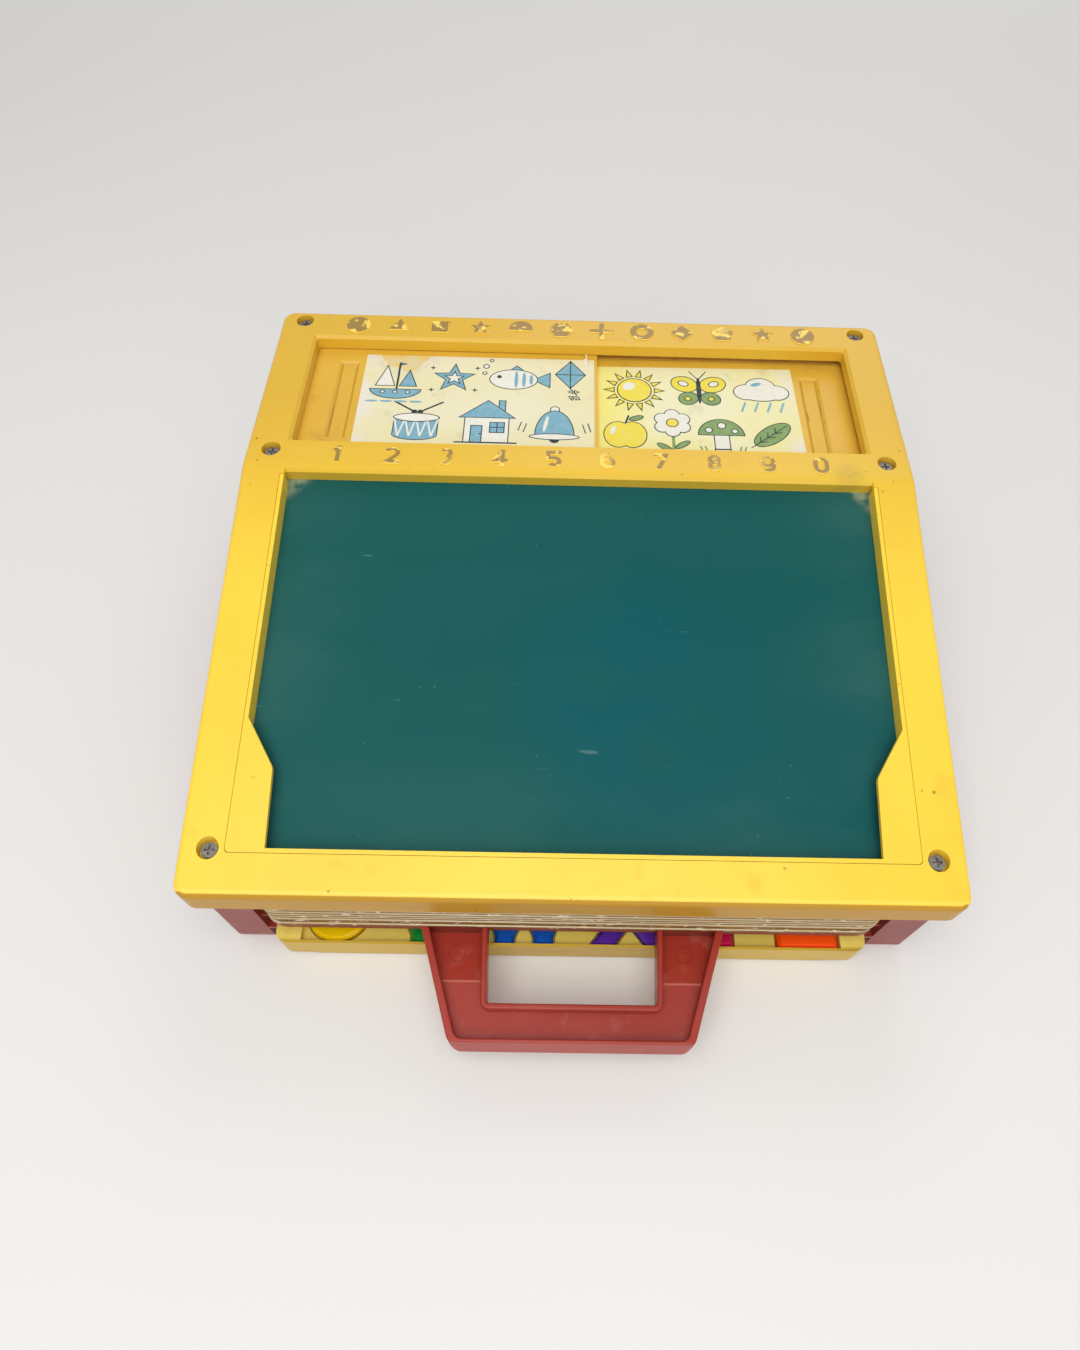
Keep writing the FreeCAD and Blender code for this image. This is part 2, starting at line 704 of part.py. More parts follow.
def make_handle():
    """Handle of channel section, level with the shelf, with a crease across the floor of its arms."""
    tip = shelf_front_y - handle_reach - handle_lean
    crease_y = shelf_front_y - handle_crease
    low = shelf_height - handle_height
    wide = half_top

    def above_floor(extra):
        """Space over the channel's floor, lowered by an extra depth."""
        grip_z = shelf_height - handle_channel - extra
        root_z = shelf_height - handle_root_channel - extra
        return yz_prism([(tip - 1, grip_z), (crease_y, grip_z), (shelf_front_y, root_z),
                         (shelf_front_y, shelf_height + 1), (tip - 1, shelf_height + 1)], -wide, wide)

    outer = rounded_at(handle_outline(0.0), low, shelf_height, handle_corner_radius, crease_y)
    lean_cut = yz_prism([(tip, low), (tip + handle_lean, shelf_height), (tip - 1, shelf_height),
                         (tip - 1, low)], -wide, wide)
    finger_gap = rounded_at(gap_outline(0.0), low - 1, shelf_height + 1, handle_gap_radius, crease_y)
    handle = outer.cut([lean_cut, finger_gap])

    inside = rounded_at(handle_outline(handle_rim + handle_lean / 2), low - 1, shelf_height + 1,
                        handle_corner_radius - handle_rim, crease_y)
    around = rounded_at(gap_outline(handle_rim), low - 1, shelf_height + 1,
                        handle_gap_radius + handle_rim, crease_y)
    in_front = box(-wide, wide, tip - 1, shelf_front_y, low - 1, shelf_height + 1)
    lane = inside.cut(around).common(in_front)
    channel = lane.common(above_floor(0.0))
    hollow = lane.cut(above_floor(handle_web))
    handle = handle.cut([channel, hollow])
    rims = [edge for edge in handle.Edges if abs(edge.BoundBox.ZMin - shelf_height) < 0.01
            and edge.CenterOfMass.y < shelf_front_y - handle_rim]
    return handle.makeFillet(handle_rim_round, rims)


def make_handle_shelf():
    """Card shelf with its front lip, side ribs and back stop, and the handle in one piece."""
    half = half_inside - shelf_side_gap
    low = shelf_height - shelf_thickness
    lip_foot = shelf_height - shelf_lip_height
    corners = [(-half, shelf_front_y), (half, shelf_front_y), (half, shelf_back_y), (-half, shelf_back_y)]
    slab = rounded_at(corners, lip_foot, shelf_height, shelf_corner_radius, shelf_lip_back_y)
    plate = slab.cut(box(-half, half, shelf_lip_back_y, shelf_back_y, lip_foot, low))
    stop = box(-card_width / 2, card_width / 2, shelf_back_y - shelf_thickness, shelf_back_y,
               shelf_height, shelf_height + shelf_back_stop)
    pieces = [plate, stop, make_handle()]
    for x in sorted({x for x, y in shelf_screw_places()}):
        pieces.append(box(x - guide_rib_width / 2, x + guide_rib_width / 2, shelf_front_y + guide_rib_setback,
                          shelf_back_y, shelf_height, shelf_height + guide_rib_height))
    shelf = fuse_all(pieces)
    holes = [post(x, y, low - 1, low - ledge_thickness + shelf_screw_length,
                  shelf_screw_shank_radius + screw_hole_clearance) for x, y in shelf_screw_places()]
    return shelf.cut(holes)


def make_screw(x, y, seat, head_radius, head_height, shank_radius, length, up):
    """Cross-head screw with its head's underside on a seat; up is 1 where the head is on top."""
    low_head = seat if up > 0 else seat - head_height
    low_shank = seat - length if up > 0 else seat
    head = post(x, y, low_head, low_head + head_height, head_radius)
    shank = post(x, y, low_shank, low_shank + length, shank_radius)
    cross_z = low_head + head_height - screw_cross_depth if up > 0 else low_head
    reach = head_radius * screw_cross_span
    half = screw_cross_width / 2
    across = box(x - reach, x + reach, y - half, y + half, cross_z, cross_z + screw_cross_depth)
    along = box(x - half, x + half, y - reach, y + reach, cross_z, cross_z + screw_cross_depth)
    return head.fuse(shank).cut([across, along])


def make_case_screws():
    screws = [make_screw(x, y, screw_seat_z(y), screw_head_radius, screw_head_height, screw_shank_radius,
                         screw_length - screw_tip_gap, 1) for x, y in screw_places()]
    return Part.makeCompound(screws)


def make_shelf_screws():
    seat = shelf_height - shelf_thickness - ledge_thickness
    length = shelf_screw_length - screw_tip_gap
    screws = [make_screw(x, y, seat, shelf_screw_head_radius, shelf_screw_head_height,
                         shelf_screw_shank_radius, length, -1) for x, y in shelf_screw_places()]
    return Part.makeCompound(screws)


def make_card(index):
    """One card of the stack, counted from the bottom, set a little out of line with the rest."""
    low = shelf_height + card_gap + index * (card_thickness + card_gap)
    shift_x = card_stagger * math.sin(card_stagger_turn_x * index)
    shift_y = card_stagger * math.cos(card_stagger_turn_y * index)
    return rounded_box(-card_width / 2 + shift_x, card_width / 2 + shift_x, card_front_y + shift_y,
                       card_back_y + shift_y, low, low + card_thickness, card_corner_radius)


# Letters are strokes between the centre lines of their outer strokes: x from 0 at the left to 1 at
# the right, y from 0 at the bottom to 1 at the top. A bar names its free ends, which are squared off
# half a stroke further on: its start, its end, both or none. Widths are in percent of the height.
width_percents = {"a": 103, "b": 84, "c": 89, "d": 86, "e": 78, "f": 76, "g": 92, "h": 86, "i": 38, "j": 76,
                  "k": 92, "l": 76, "m": 114, "n": 92, "o": 95, "p": 81, "q": 95, "r": 86, "s": 84, "t": 86,
                  "u": 84, "v": 97, "w": 130, "x": 108, "y": 97, "z": 81}
letter_widths = {name: letter_height * percent / 100 for name, percent in width_percents.items()}
letter_rows = ["uvwxyz", "pqrst", "klmno", "fghij", "abcde"]

straight_letters = {
    "a": [(0, 0, 0.5, 1, "start"), (1, 0, 0.5, 1, "start"), (0.5, 0.9, 0.5, 1, "end"),
          (0.14, 0.28, 0.86, 0.28, "none")],
    "e": [(0, 0, 0, 1, "both"), (0, 0, 1, 0, "end"), (0, 0.5, 0.85, 0.5, "end"), (0, 1, 1, 1, "end")],
    "f": [(0, 0, 0, 1, "both"), (0, 0.5, 0.85, 0.5, "end"), (0, 1, 1, 1, "end")],
    "h": [(0, 0, 0, 1, "both"), (1, 0, 1, 1, "both"), (0, 0.5, 1, 0.5, "none")],
    "i": [(0.5, 0, 0.5, 1, "both")],
    "k": [(0, 0, 0, 1, "both"), (0, 0.4, 1, 1, "end"), (0.3, 0.58, 1, 0, "end")],
    "l": [(0, 0, 0, 1, "both"), (0, 0, 1, 0, "end")],
    "m": [(0, 0, 0, 1, "both"), (0, 1, 0.5, 0.35, "start"), (1, 1, 0.5, 0.35, "start"),
          (0.5, 0.3, 0.5, 0.35, "start"), (1, 0, 1, 1, "both")],
    "n": [(0, 0, 0, 1, "both"), (0, 1, 1, 0, "both"), (1, 0, 1, 1, "both")],
    "t": [(0.5, 0, 0.5, 1, "both"), (0, 1, 1, 1, "both")],
    "v": [(0, 1, 0.5, 0, "start"), (1, 1, 0.5, 0, "start"), (0.5, 0, 0.5, 0.1, "start")],
    "w": [(0, 1, 0.25, 0, "start"), (0.5, 0.8, 0.25, 0, "none"), (0.5, 0.8, 0.75, 0, "none"),
          (1, 1, 0.75, 0, "start"), (0.25, 0, 0.25, 0.1, "start"), (0.75, 0, 0.75, 0.1, "start"),
          (0.5, 0.8, 0.5, 0.85, "end")],
    "x": [(0.16, 0, 0.84, 1, "both"), (0.16, 1, 0.84, 0, "both")],
    "y": [(0.5, 0, 0.5, 0.45, "start"), (0, 1, 0.5, 0.4, "start"), (1, 1, 0.5, 0.4, "start")],
    "z": [(0.1, 0, 0.9, 1, "none"), (0, 1, 1, 1, "both"), (0, 0, 1, 0, "both")],
}


def letter_strokes(name):
    """Bars (x0, y0, x1, y1, free ends) and bends (x, y, radius, from, to, free ends) of a letter in mm."""
    wide = letter_widths[name] - letter_stroke
    tall = letter_height - letter_stroke
    if name in straight_letters:
        bars = [(a * wide, b * tall, c * wide, d * tall, ends) for a, b, c, d, ends in straight_letters[name]]
        return bars, []
    big = wide / 2
    small = tall / 4
    half = tall / 2
    stem = (0, 0, 0, tall, "both")
    left = (0, big, 0, tall - big, "none")
    right = (wide, big, wide, tall - big, "none")
    top_ring = (big, tall - big, big, 0, 180, "none")
    low_ring = (big, big, big, 180, 360, "none")
    open_top = (big, tall - big, big, 45, 180, "start")
    bowl = [(0, tall, wide - small, tall, "none"), (0, half, wide - small, half, "none")]
    bowl_ring = (wide - small, tall - small, small, -90, 90, "none")
    belly_ring = (wide - small, small, small, -90, 90, "none")
    waist_x = wide - small / 5
    waist = (waist_x, half - small / 2, waist_x, half + small / 2, "none")
    curved_letters = {
        "b": ([stem] + bowl + [(0, 0, wide - small, 0, "none"), waist], [bowl_ring, belly_ring]),
        "c": ([left], [open_top, (big, big, big, 180, 315, "end")]),
        "d": ([stem, (0, 0, big, 0, "none"), (0, tall, big, tall, "none"), right],
              [(big, big, big, 270, 360, "none"), (big, tall - big, big, 0, 90, "none")]),
        "g": ([left, (wide, big, wide, half, "end"), (big, half, wide, half, "start")], [open_top, low_ring]),
        "j": ([(wide, big, wide, tall, "end")], [(big, big, big, 180, 360, "start")]),
        "o": ([left, right], [top_ring, low_ring]),
        "p": ([stem] + bowl, [bowl_ring]),
        "q": ([left, right, (0.75 * wide, 0.2 * tall, wide, 0, "end")], [top_ring, low_ring]),
        "r": ([stem] + bowl + [(0.4 * wide, half, wide, 0, "end")], [bowl_ring]),
        "s": ([(small, half, wide - small, half, "none"), (small, tall, wide - small, tall, "none"),
               (small, 0, wide - small, 0, "none")],
              [(small, tall - small, small, 90, 270, "none"), belly_ring,
               (wide - small, tall - small, small, 0, 90, "start"),
               (small, small, small, 180, 270, "start")]),
        "u": ([(0, big, 0, tall, "end"), (wide, big, wide, tall, "end")], [low_ring]),
    }
    return curved_letters[name]


def stroke_bar(x0, y0, x1, y1, ends, width, levels, low, high):
    """Straight stroke that runs past its free ends: far enough to be cut flat at a level, or squared off."""
    length = math.hypot(x1 - x0, y1 - y0)
    run = abs(x1 - x0) / length
    rise = abs(y1 - y0) / length
    square = width / 2

    def past(y):
        return square * (1 + run) / rise if y in levels and rise > 0 else square

    before = past(y0) if ends in ("start", "both") else 0.0
    after = past(y1) if ends in ("end", "both") else 0.0
    bar = box(-before, length + after, -square, square, low, high)
    bar.rotate(Vector(0, 0, 0), Vector(0, 0, 1), math.degrees(math.atan2(y1 - y0, x1 - x0)))
    bar.translate(Vector(x0, y0, 0))
    return bar


def stroke_bend(x, y, radius, start, end, ends, width, grow, low, high):
    """Part of a ring, with its angles in degrees from the right, grown past each free end."""
    past = math.degrees(grow / radius)
    start -= past if ends in ("start", "both") else 0.0
    end += past if ends in ("end", "both") else 0.0
    outer = Part.makeCylinder(radius + width / 2, high - low, Vector(x, y, low), Vector(0, 0, 1), end - start)
    inner = radius - width / 2
    if inner > 0:
        outer = outer.cut(Part.makeCylinder(inner, high - low, Vector(x, y, low)))
    outer.rotate(Vector(x, y, 0), Vector(0, 0, 1), start)
    return outer


def stroke_block(strokes, wide, tall, stroke, levels, grow, low, high):
    """Bars and bends grown on all sides, as a solid with its box's lower left corner at 0, 0."""
    bars, bends = strokes
    width = stroke + 2 * grow
    pieces = [stroke_bar(*bar, width, levels, low, high) for bar in bars]
    pieces += [stroke_bend(*bend, width, grow, low, high) for bend in bends]
    solid = fuse_all(pieces) if len(pieces) > 1 else pieces[0]
    half = stroke / 2
    frame = box(-half - grow, wide - half + grow, -half - grow, tall - half + grow, low, high)
    trimmed = solid.common(frame).removeSplitter()
    trimmed.translate(Vector(half, half, 0))
    return trimmed


def letter_block(name, grow, low, high):
    levels = (0.0, letter_height - letter_stroke)
    return stroke_block(letter_strokes(name), letter_widths[name], letter_height, letter_stroke, levels,
                        grow, low, high)


def letter_places():
    """Place of each letter's lower left corner, row by row from the tray's front."""
    places = {}
    row_y = tray_front_y + tray_rim_width + letter_front_gap
    for row in letter_rows:
        total = sum(letter_widths[name] for name in row)
        gap = (letter_row_width - total) / (len(row) - 1)
        x = -letter_row_width / 2
        for name in row:
            places[name] = Vector(x, row_y, 0)
            x += letter_widths[name] + gap
        row_y += letter_row_pitch
    return places


def magnet_place(name):
    """Middle of a letter's first straight stroke."""
    x0, y0, x1, y1, ends = letter_strokes(name)[0][0]
    spot = Vector((x0 + x1 + letter_stroke) / 2, (y0 + y1 + letter_stroke) / 2, 0)
    return spot + letter_places()[name]


def make_letter(name):
    """Letter with a bevelled face and a blind hole in its back for the magnet."""
    solid = letter_block(name, 0.0, letter_low, letter_low + letter_thickness)
    solid = bevelled(solid, letter_low + letter_thickness, letter_chamfer)
    solid.translate(letter_places()[name])
    spot = magnet_place(name)
    return solid.cut(post(spot.x, spot.y, letter_low, letter_low + magnet_thickness,
                          magnet_radius + magnet_clearance))


def make_letter_magnets():
    magnets = []
    for name in sorted(letter_widths):
        spot = magnet_place(name)
        magnets.append(post(spot.x, spot.y, letter_low, letter_low + magnet_thickness, magnet_radius))
    return Part.makeCompound(magnets)


def tray_block(inset, low, high):
    """Plain block of the tray's plan, moved inwards by an inset."""
    half = tray_width / 2 - inset
    return box(-half, half, tray_front_y + inset, tray_back_y - inset, low, high)


def make_brow_notch():
    """Space under the right end of the tray's front, which is lower along its middle."""
    brow = tray_brow_width / 2
    end = tray_width / 2 + 1
    high = tray_floor_gap + tray_brow
    corners = [(brow - tray_brow_run / 2, tray_floor_gap), (brow + tray_brow_run / 2, high), (end, high),
               (end, tray_floor_gap)]
    face = Part.Face(flat_wire([Vector(x, tray_front_y, z) for x, z in corners]))
    return face.extrude(Vector(0, tray_fascia_depth, 0))


def make_letter_tray():
    """Tray with side flanges that run on the base's rails, a full front and a pocket for each letter."""
    half = tray_width / 2
    block = tray_block(0.0, tray_floor_gap, tray_rim_height)
    corners = [edge for edge in upright_edges(block) if abs(abs(edge.CenterOfMass.x) - half) < 0.01]
    block = block.makeFillet(tray_corner_radius, corners)
    rim = block.common(box(-half, half, tray_front_y, tray_back_y, rail_height, tray_rim_height))
    fascia = block.common(box(-half, half, tray_front_y, tray_front_y + tray_fascia_depth, tray_floor_gap,
                              tray_rim_height))
    half_tub = tray_tub_width / 2
    tub = box(-half_tub, half_tub, tray_front_y, tray_back_y, tray_floor_gap, tray_rim_height)
    under = box(-half_tub + tray_wall, half_tub - tray_wall, tray_front_y + tray_wall,
                tray_back_y - tray_wall, tray_floor_gap, deck_height - tray_deck_thickness)
    half_deck = tray_deck_width / 2
    above = box(-half_deck, half_deck, tray_front_y + tray_rim_width, tray_back_y - tray_rim_width,
                deck_height, tray_rim_height + 1)
    tray = fuse_all([rim, fascia, tub]).cut([under, above] + both_sides(make_brow_notch()))
    wells = []
    pockets = []
    for name, place in letter_places().items():
        well = letter_block(name, pocket_clearance + pocket_wall, letter_low - pocket_wall,
                            deck_height - tray_deck_thickness / 2)
        pocket = letter_block(name, pocket_clearance, letter_low, deck_height + 1)
        for shape, group in ((well, wells), (pocket, pockets)):
            shape.translate(place)
            group.append(shape)
    behind_wall = tray_block(tray_wall / 2, tray_floor_gap, tray_rim_height)
    wells = [well.common(behind_wall) for well in wells]
    behind_rim = tray_block(tray_rim_width, tray_floor_gap, tray_rim_height)
    pockets = [pocket.common(behind_rim) for pocket in pockets]
    return fuse_all([tray] + wells).cut(pockets)


def main():
    os.makedirs("parts", exist_ok=True)
    save(make_top_frame(), "top_frame")
    save(make_card_guide(), "card_guide")
    save(make_chalkboard(), "chalkboard")
    save(make_chalk_bin(), "chalk_bin")
    save(make_door(-1, upper_door_top, 0.0), "door_left")
    save(make_door(1, lower_door_top, door_track_step), "door_right")
    save(make_label(-1, upper_door_top, 0.0), "label_left")
    save(make_label(1, lower_door_top, right_label_turn), "label_right")
    save(make_base_frame(), "base_frame")
    save(make_handle_shelf(), "handle_shelf")
    save(make_case_screws(), "case_screws")
    save(make_shelf_screws(), "shelf_screws")
    for index in range(card_count):
        save(make_card(index), "stencil_card_" + str(index + 1).zfill(2))
    save(make_letter_tray(), "letter_tray")
    for name in sorted(letter_widths):
        save(make_letter(name), "letter_" + name)
    save(make_letter_magnets(), "letter_magnets")


main()
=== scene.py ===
import math
import string

import bpy
from mathutils import Matrix, Vector


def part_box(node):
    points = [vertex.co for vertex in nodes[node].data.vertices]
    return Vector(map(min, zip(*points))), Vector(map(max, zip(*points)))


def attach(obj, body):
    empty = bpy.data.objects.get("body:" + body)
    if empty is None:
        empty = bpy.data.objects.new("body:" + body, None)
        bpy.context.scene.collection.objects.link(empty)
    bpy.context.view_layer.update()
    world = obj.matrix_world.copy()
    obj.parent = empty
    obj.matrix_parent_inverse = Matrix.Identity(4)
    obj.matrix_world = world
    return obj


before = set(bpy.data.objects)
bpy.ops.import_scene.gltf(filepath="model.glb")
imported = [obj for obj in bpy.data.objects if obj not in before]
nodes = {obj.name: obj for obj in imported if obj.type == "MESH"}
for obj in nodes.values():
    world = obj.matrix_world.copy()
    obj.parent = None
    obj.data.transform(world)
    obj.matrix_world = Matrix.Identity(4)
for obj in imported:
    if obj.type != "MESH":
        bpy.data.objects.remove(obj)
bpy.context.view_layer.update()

scene = bpy.context.scene
scene.view_settings.view_transform = "Standard"

# Levels and fronts of the pieces, in metres like every size below
TOP_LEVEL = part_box("top_frame")[1].z
TOP_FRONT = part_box("top_frame")[0].y
FIGURE_RISE = 0.0008
DECK_LEVEL = TOP_LEVEL - FIGURE_RISE
LEFT_DOOR_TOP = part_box("door_left")[1].z
RIGHT_DOOR_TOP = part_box("door_right")[1].z
LEFT_LABEL_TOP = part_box("label_left")[1].z
RIGHT_LABEL_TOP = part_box("label_right")[1].z
TOP_CARD_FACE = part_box("stencil_card_16")[1].z
NEXT_CARD_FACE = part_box("stencil_card_15")[1].z
CARD_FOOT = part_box("stencil_card_01")[0].z
CARD_OVERHANG = 0.0001
SHELF_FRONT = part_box("stencil_card_01")[0].y + CARD_OVERHANG
TRAY_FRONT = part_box("letter_tray")[0].y

# Top: where its front skirt turns into the deck and its painted shade begins, and how softly that shade and
# the painted highlight along the edge blend in
SKIRT_TOP = TOP_FRONT + 0.0022
SKIRT_BLEND = 0.0008
HIGHLIGHT_BLEND = 0.0002

# Finger pulls of the doors
PULL_X = 0.1356
PULL_HALF_WIDTH = 0.008
PULL_BLEND = 0.001
PULL_RIM = 0.0004
PULL_FLOOR = 0.0016

# Handle: the crease across each arm with its painted highlight, the painted shade on each arm behind it and
# on the shelf behind its front, the channel along it and two round moulding marks
HANDLE_CREASE_Y = -0.1679
CREASE_BLEND = 0.0006
CREASE_WIDTH = (0.0007, 0.0002)
# Painted shade on the shelf behind its front, under the cards
LIP_SHADE_DEPTH = (0.0006, 0.0001)
CHANNEL_TOP = (CARD_FOOT - 0.0040, CARD_FOOT - 0.0058)
CHANNEL_FLOOR = (0.0225, 0.0235)
MOULDING_MARKS = ((-0.0555, -0.1546), (0.0542, -0.1538))
MARK_RADIUS = 0.0042

# Board: the edges that show inside the card guide, and where its haze and dust begin and end
BOARD_HALF_WIDTH = 0.1546
BOARD_TOP_Y = 0.0694
HAZE_ACROSS = (0.10, 0.155)
HAZE_ALONG = (-0.06, -0.13)
CORNER_DUST = (0.016, 0.006)

# Stretches over which wear, age, painted shade and painted highlights begin and end
# Painted shade: the top darkens towards the back between these two places
TOP_BACK_SHADE = (-0.02, 0.13)
BIN_DUST = (0.075, 0.064)
FOOT_SCUFFS = (0.016, 0.001)
LABEL_YELLOWING = (0.140, 0.100)
LABEL_RUBBING = (0.114, 0.124)
# Painted highlight along the lower edge of the lowest card
LOW_CARD_EDGE = (CARD_FOOT + 0.0018, CARD_FOOT + 0.0014)
# Painted shade on the front face of the tray
TRAY_FACE = (TRAY_FRONT + 0.0026, TRAY_FRONT + 0.0004)
RIGHT_LABEL_LEFT = 0.010
YELLOW_REACH = 0.035

# Round places, each with its x, y and radius
TOP_SMUDGE = (0.1425, 0.0735, 0.012)
TOP_NICK = (0.0, -0.1428, 0.0035)
BOARD_POOL = (0.030, -0.046, 0.085)
LABEL_TEAR = (-0.1035, 0.1725, 0.0150)

# Depth of the fine relief on a surface
MOULD_RELIEF = 0.0003
FINE_RELIEF = 0.0002

# Colours of the letters, clean and shaded, in their order from the first letter of the front row
LETTER_COLOURS = [("yellow", (240, 198, 2), (231, 183, 2)), ("green", (16, 132, 44), (12, 116, 36)),
                  ("blue", (8, 84, 176), (6, 70, 156)), ("purple", (92, 44, 160), (80, 36, 144)),
                  ("magenta", (196, 22, 76), (178, 18, 66)), ("orange", (255, 84, 16), (246, 72, 12))]
FRONT_ROW_START = string.ascii_lowercase.index("u")

# Printed pictures: thin inks that stand on the paper, each a little higher than the one before
INK_WIDTH = 0.0006
INK_STEP = 0.00001
INK_ROOT = 0.00002
DISC_CORNERS = 36
DOME_CORNERS = 44
CARD_COLUMNS = (-0.090, 0.0, 0.090)
CARD_ROWS = (-0.092, -0.012)
CARD_SHAPE_SIZE = 0.050
CARD_DOTS_SIZE = 0.060

# Loose corner of the left label, with its bend and turn in degrees
CURL_LENGTH = 0.0105
CURL_WIDTH = 0.0050
CURL_PAPER = 0.00012
CURL_CUTS = 11
CURL_BEND = 150.0
CURL_TAPER = -0.75
CURL_TURN = 196.0
CURL_PLACE = (0.0016, 0.1712, LEFT_LABEL_TOP)

# Stage: floor and backdrop, sky, and lamps with their place, size and power in watts
FLOOR_SIZE = 40.0
FLOOR_FADE = (0.75, 2.4)
BACKDROP = (236, 236, 234)
SKY_COLOUR = (1.0, 0.99, 0.97, 1.0)
SKY_STRENGTH = 0.42
LAMPS = (("lamp_above", (-0.15, -0.60, 1.45), 1.3, 15.0),
         ("lamp_front", (0.3, -1.6, 0.9), 1.2, 6.6),
         ("lamp_back", (0.3, 1.4, 1.3), 1.0, 5.0))
LAMP_AIM = (0.0, 0.0, 0.06)

# Camera: angles in degrees, lens and sensor in millimetres
CAMERA_PLACE = (-0.0091, -0.267115, 0.459324)
CAMERA_PITCH = 57.88
CAMERA_YAW = 1.651
CAMERA_ROLL = 2.587
CAMERA_SENSOR = 36.0
CAMERA_LENS = 23.573
CAMERA_SHIFT = (-0.02412, 0.00027)
CAMERA_NEAR = 0.01


def tone(red, green, blue):
    """A colour given in 0 to 255 steps, as the shader takes it."""
    linear = []
    for step in (red, green, blue):
        share = step / 255
        linear.append(share / 12.92 if share <= 0.04045 else ((share + 0.055) / 1.055) ** 2.4)
    return (*linear, 1.0)


class Finish:
    """A procedural finish, with short names for the nodes that make it."""

    def __init__(self, name, roughness=0.4, specular=0.3, metallic=0.0):
        self.material = bpy.data.materials.new(name)
        self.material.use_nodes = True
        self.tree = self.material.node_tree
        self.shader = self.tree.nodes["Principled BSDF"]
        settings = {"Roughness": roughness, "Specular IOR Level": specular, "Metallic": metallic}
        for socket, value in settings.items():
            self.shader.inputs[socket].default_value = value
        self.place = self.add("ShaderNodeTexCoord").outputs["Object"]
        split = self.add("ShaderNodeSeparateXYZ")
        self.feed(self.place, split.inputs[0])
        self.x, self.y, self.z = split.outputs
        facing = self.add("ShaderNodeSeparateXYZ")
        self.feed(self.add("ShaderNodeNewGeometry").outputs["True Normal"], facing.inputs[0])
        self.upward = facing.outputs[2]

    def add(self, kind):
        return self.tree.nodes.new(kind)

    def feed(self, value, socket):
        """Link a node's output to a socket, or set the socket to a plain value."""
        if isinstance(value, bpy.types.NodeSocket):
            self.tree.links.new(value, socket)
        else:
            socket.default_value = value

    def mapped(self, scale, stretch, shift):
        mapping = self.add("ShaderNodeMapping")
        self.feed(self.place, mapping.inputs["Vector"])
        mapping.inputs["Scale"].default_value = [scale * share for share in stretch]
        mapping.inputs["Location"].default_value = shift
        return mapping.outputs[0]

    def noise(self, scale, detail=3.0, stretch=(1.0, 1.0, 1.0), shift=(0.0, 0.0, 0.0)):
        """Cloudy pattern from 0 to 1; scale is in patches per metre."""
        pattern = self.add("ShaderNodeTexNoise")
        self.feed(self.mapped(scale, stretch, shift), pattern.inputs["Vector"])
        pattern.inputs["Scale"].default_value = 1.0
        pattern.inputs["Detail"].default_value = detail
        return pattern.outputs[0]

    def dots(self, scale, size, shift=(0.0, 0.0, 0.0)):
        """Small spots, one in each cell; scale is in cells per metre, size is a share of a cell."""
        cells = self.add("ShaderNodeTexVoronoi")
        self.feed(self.mapped(scale, (1.0, 1.0, 1.0), shift), cells.inputs["Vector"])
        cells.inputs["Scale"].default_value = 1.0
        return self.ramp(cells.outputs["Distance"], size, size * 0.6)

    def calc(self, operation, first, second=0.0):
        node = self.add("ShaderNodeMath")
        node.operation = operation
        self.feed(first, node.inputs[0])
        self.feed(second, node.inputs[1])
        return node.outputs[0]

    def times(self, first, second):
        return self.calc("MULTIPLY", first, second)

    def ramp(self, value, start, end, low=0.0, high=1.0):
        """Smooth step from low at start to high at end."""
        node = self.add("ShaderNodeMapRange")
        node.interpolation_type = "SMOOTHSTEP"
        self.feed(value, node.inputs["Value"])
        node.inputs["From Min"].default_value = start
        node.inputs["From Max"].default_value = end
        node.inputs["To Min"].default_value = low
        node.inputs["To Max"].default_value = high
        return node.outputs[0]

    def mix(self, share, first, second):
        node = self.add("ShaderNodeMix")
        node.data_type = "RGBA"
        self.feed(share, node.inputs[0])
        self.feed(first, node.inputs[6])
        self.feed(second, node.inputs[7])
        return node.outputs[2]

    def apart(self, first, second):
        """Distance between two values."""
        return self.calc("ABSOLUTE", self.calc("SUBTRACT", first, second))

    def flatness(self):
        """1 on a level face and 0 on an upright one."""
        return self.calc("ABSOLUTE", self.upward)

    def patches(self, start, end, scale, detail=3.0, stretch=(1.0, 1.0, 1.0), shift=(0.0, 0.0, 0.0)):
        """Cloudy pattern cut to patches: 0 up to start and 1 from end."""
        return self.ramp(self.noise(scale, detail, stretch, shift), start, end)

    def over(self, colour, mask, amount, paint):
        """Lay a paint over a colour where the mask shows, up to a share of it."""
        return self.mix(self.times(mask, amount), colour, paint)

    def near(self, x, y, radius):
        """Distance in plan from a point, as a share of a radius."""
        across = self.calc("POWER", self.calc("SUBTRACT", self.x, x), 2.0)
        along = self.calc("POWER", self.calc("SUBTRACT", self.y, y), 2.0)
        return self.times(self.calc("SQRT", self.calc("ADD", across, along)), 1.0 / radius)

    def colour(self, value):
        self.feed(value, self.shader.inputs["Base Color"])

    def gloss(self, value):
        self.feed(value, self.shader.inputs["Roughness"])

    def relief(self, height, strength, depth):
        """Fine relief of the surface; depth is in metres."""
        node = self.add("ShaderNodeBump")
        node.inputs["Strength"].default_value = strength
        node.inputs["Distance"].default_value = depth
        self.feed(height, node.inputs["Height"])
        self.feed(node.outputs[0], self.shader.inputs["Normal"])


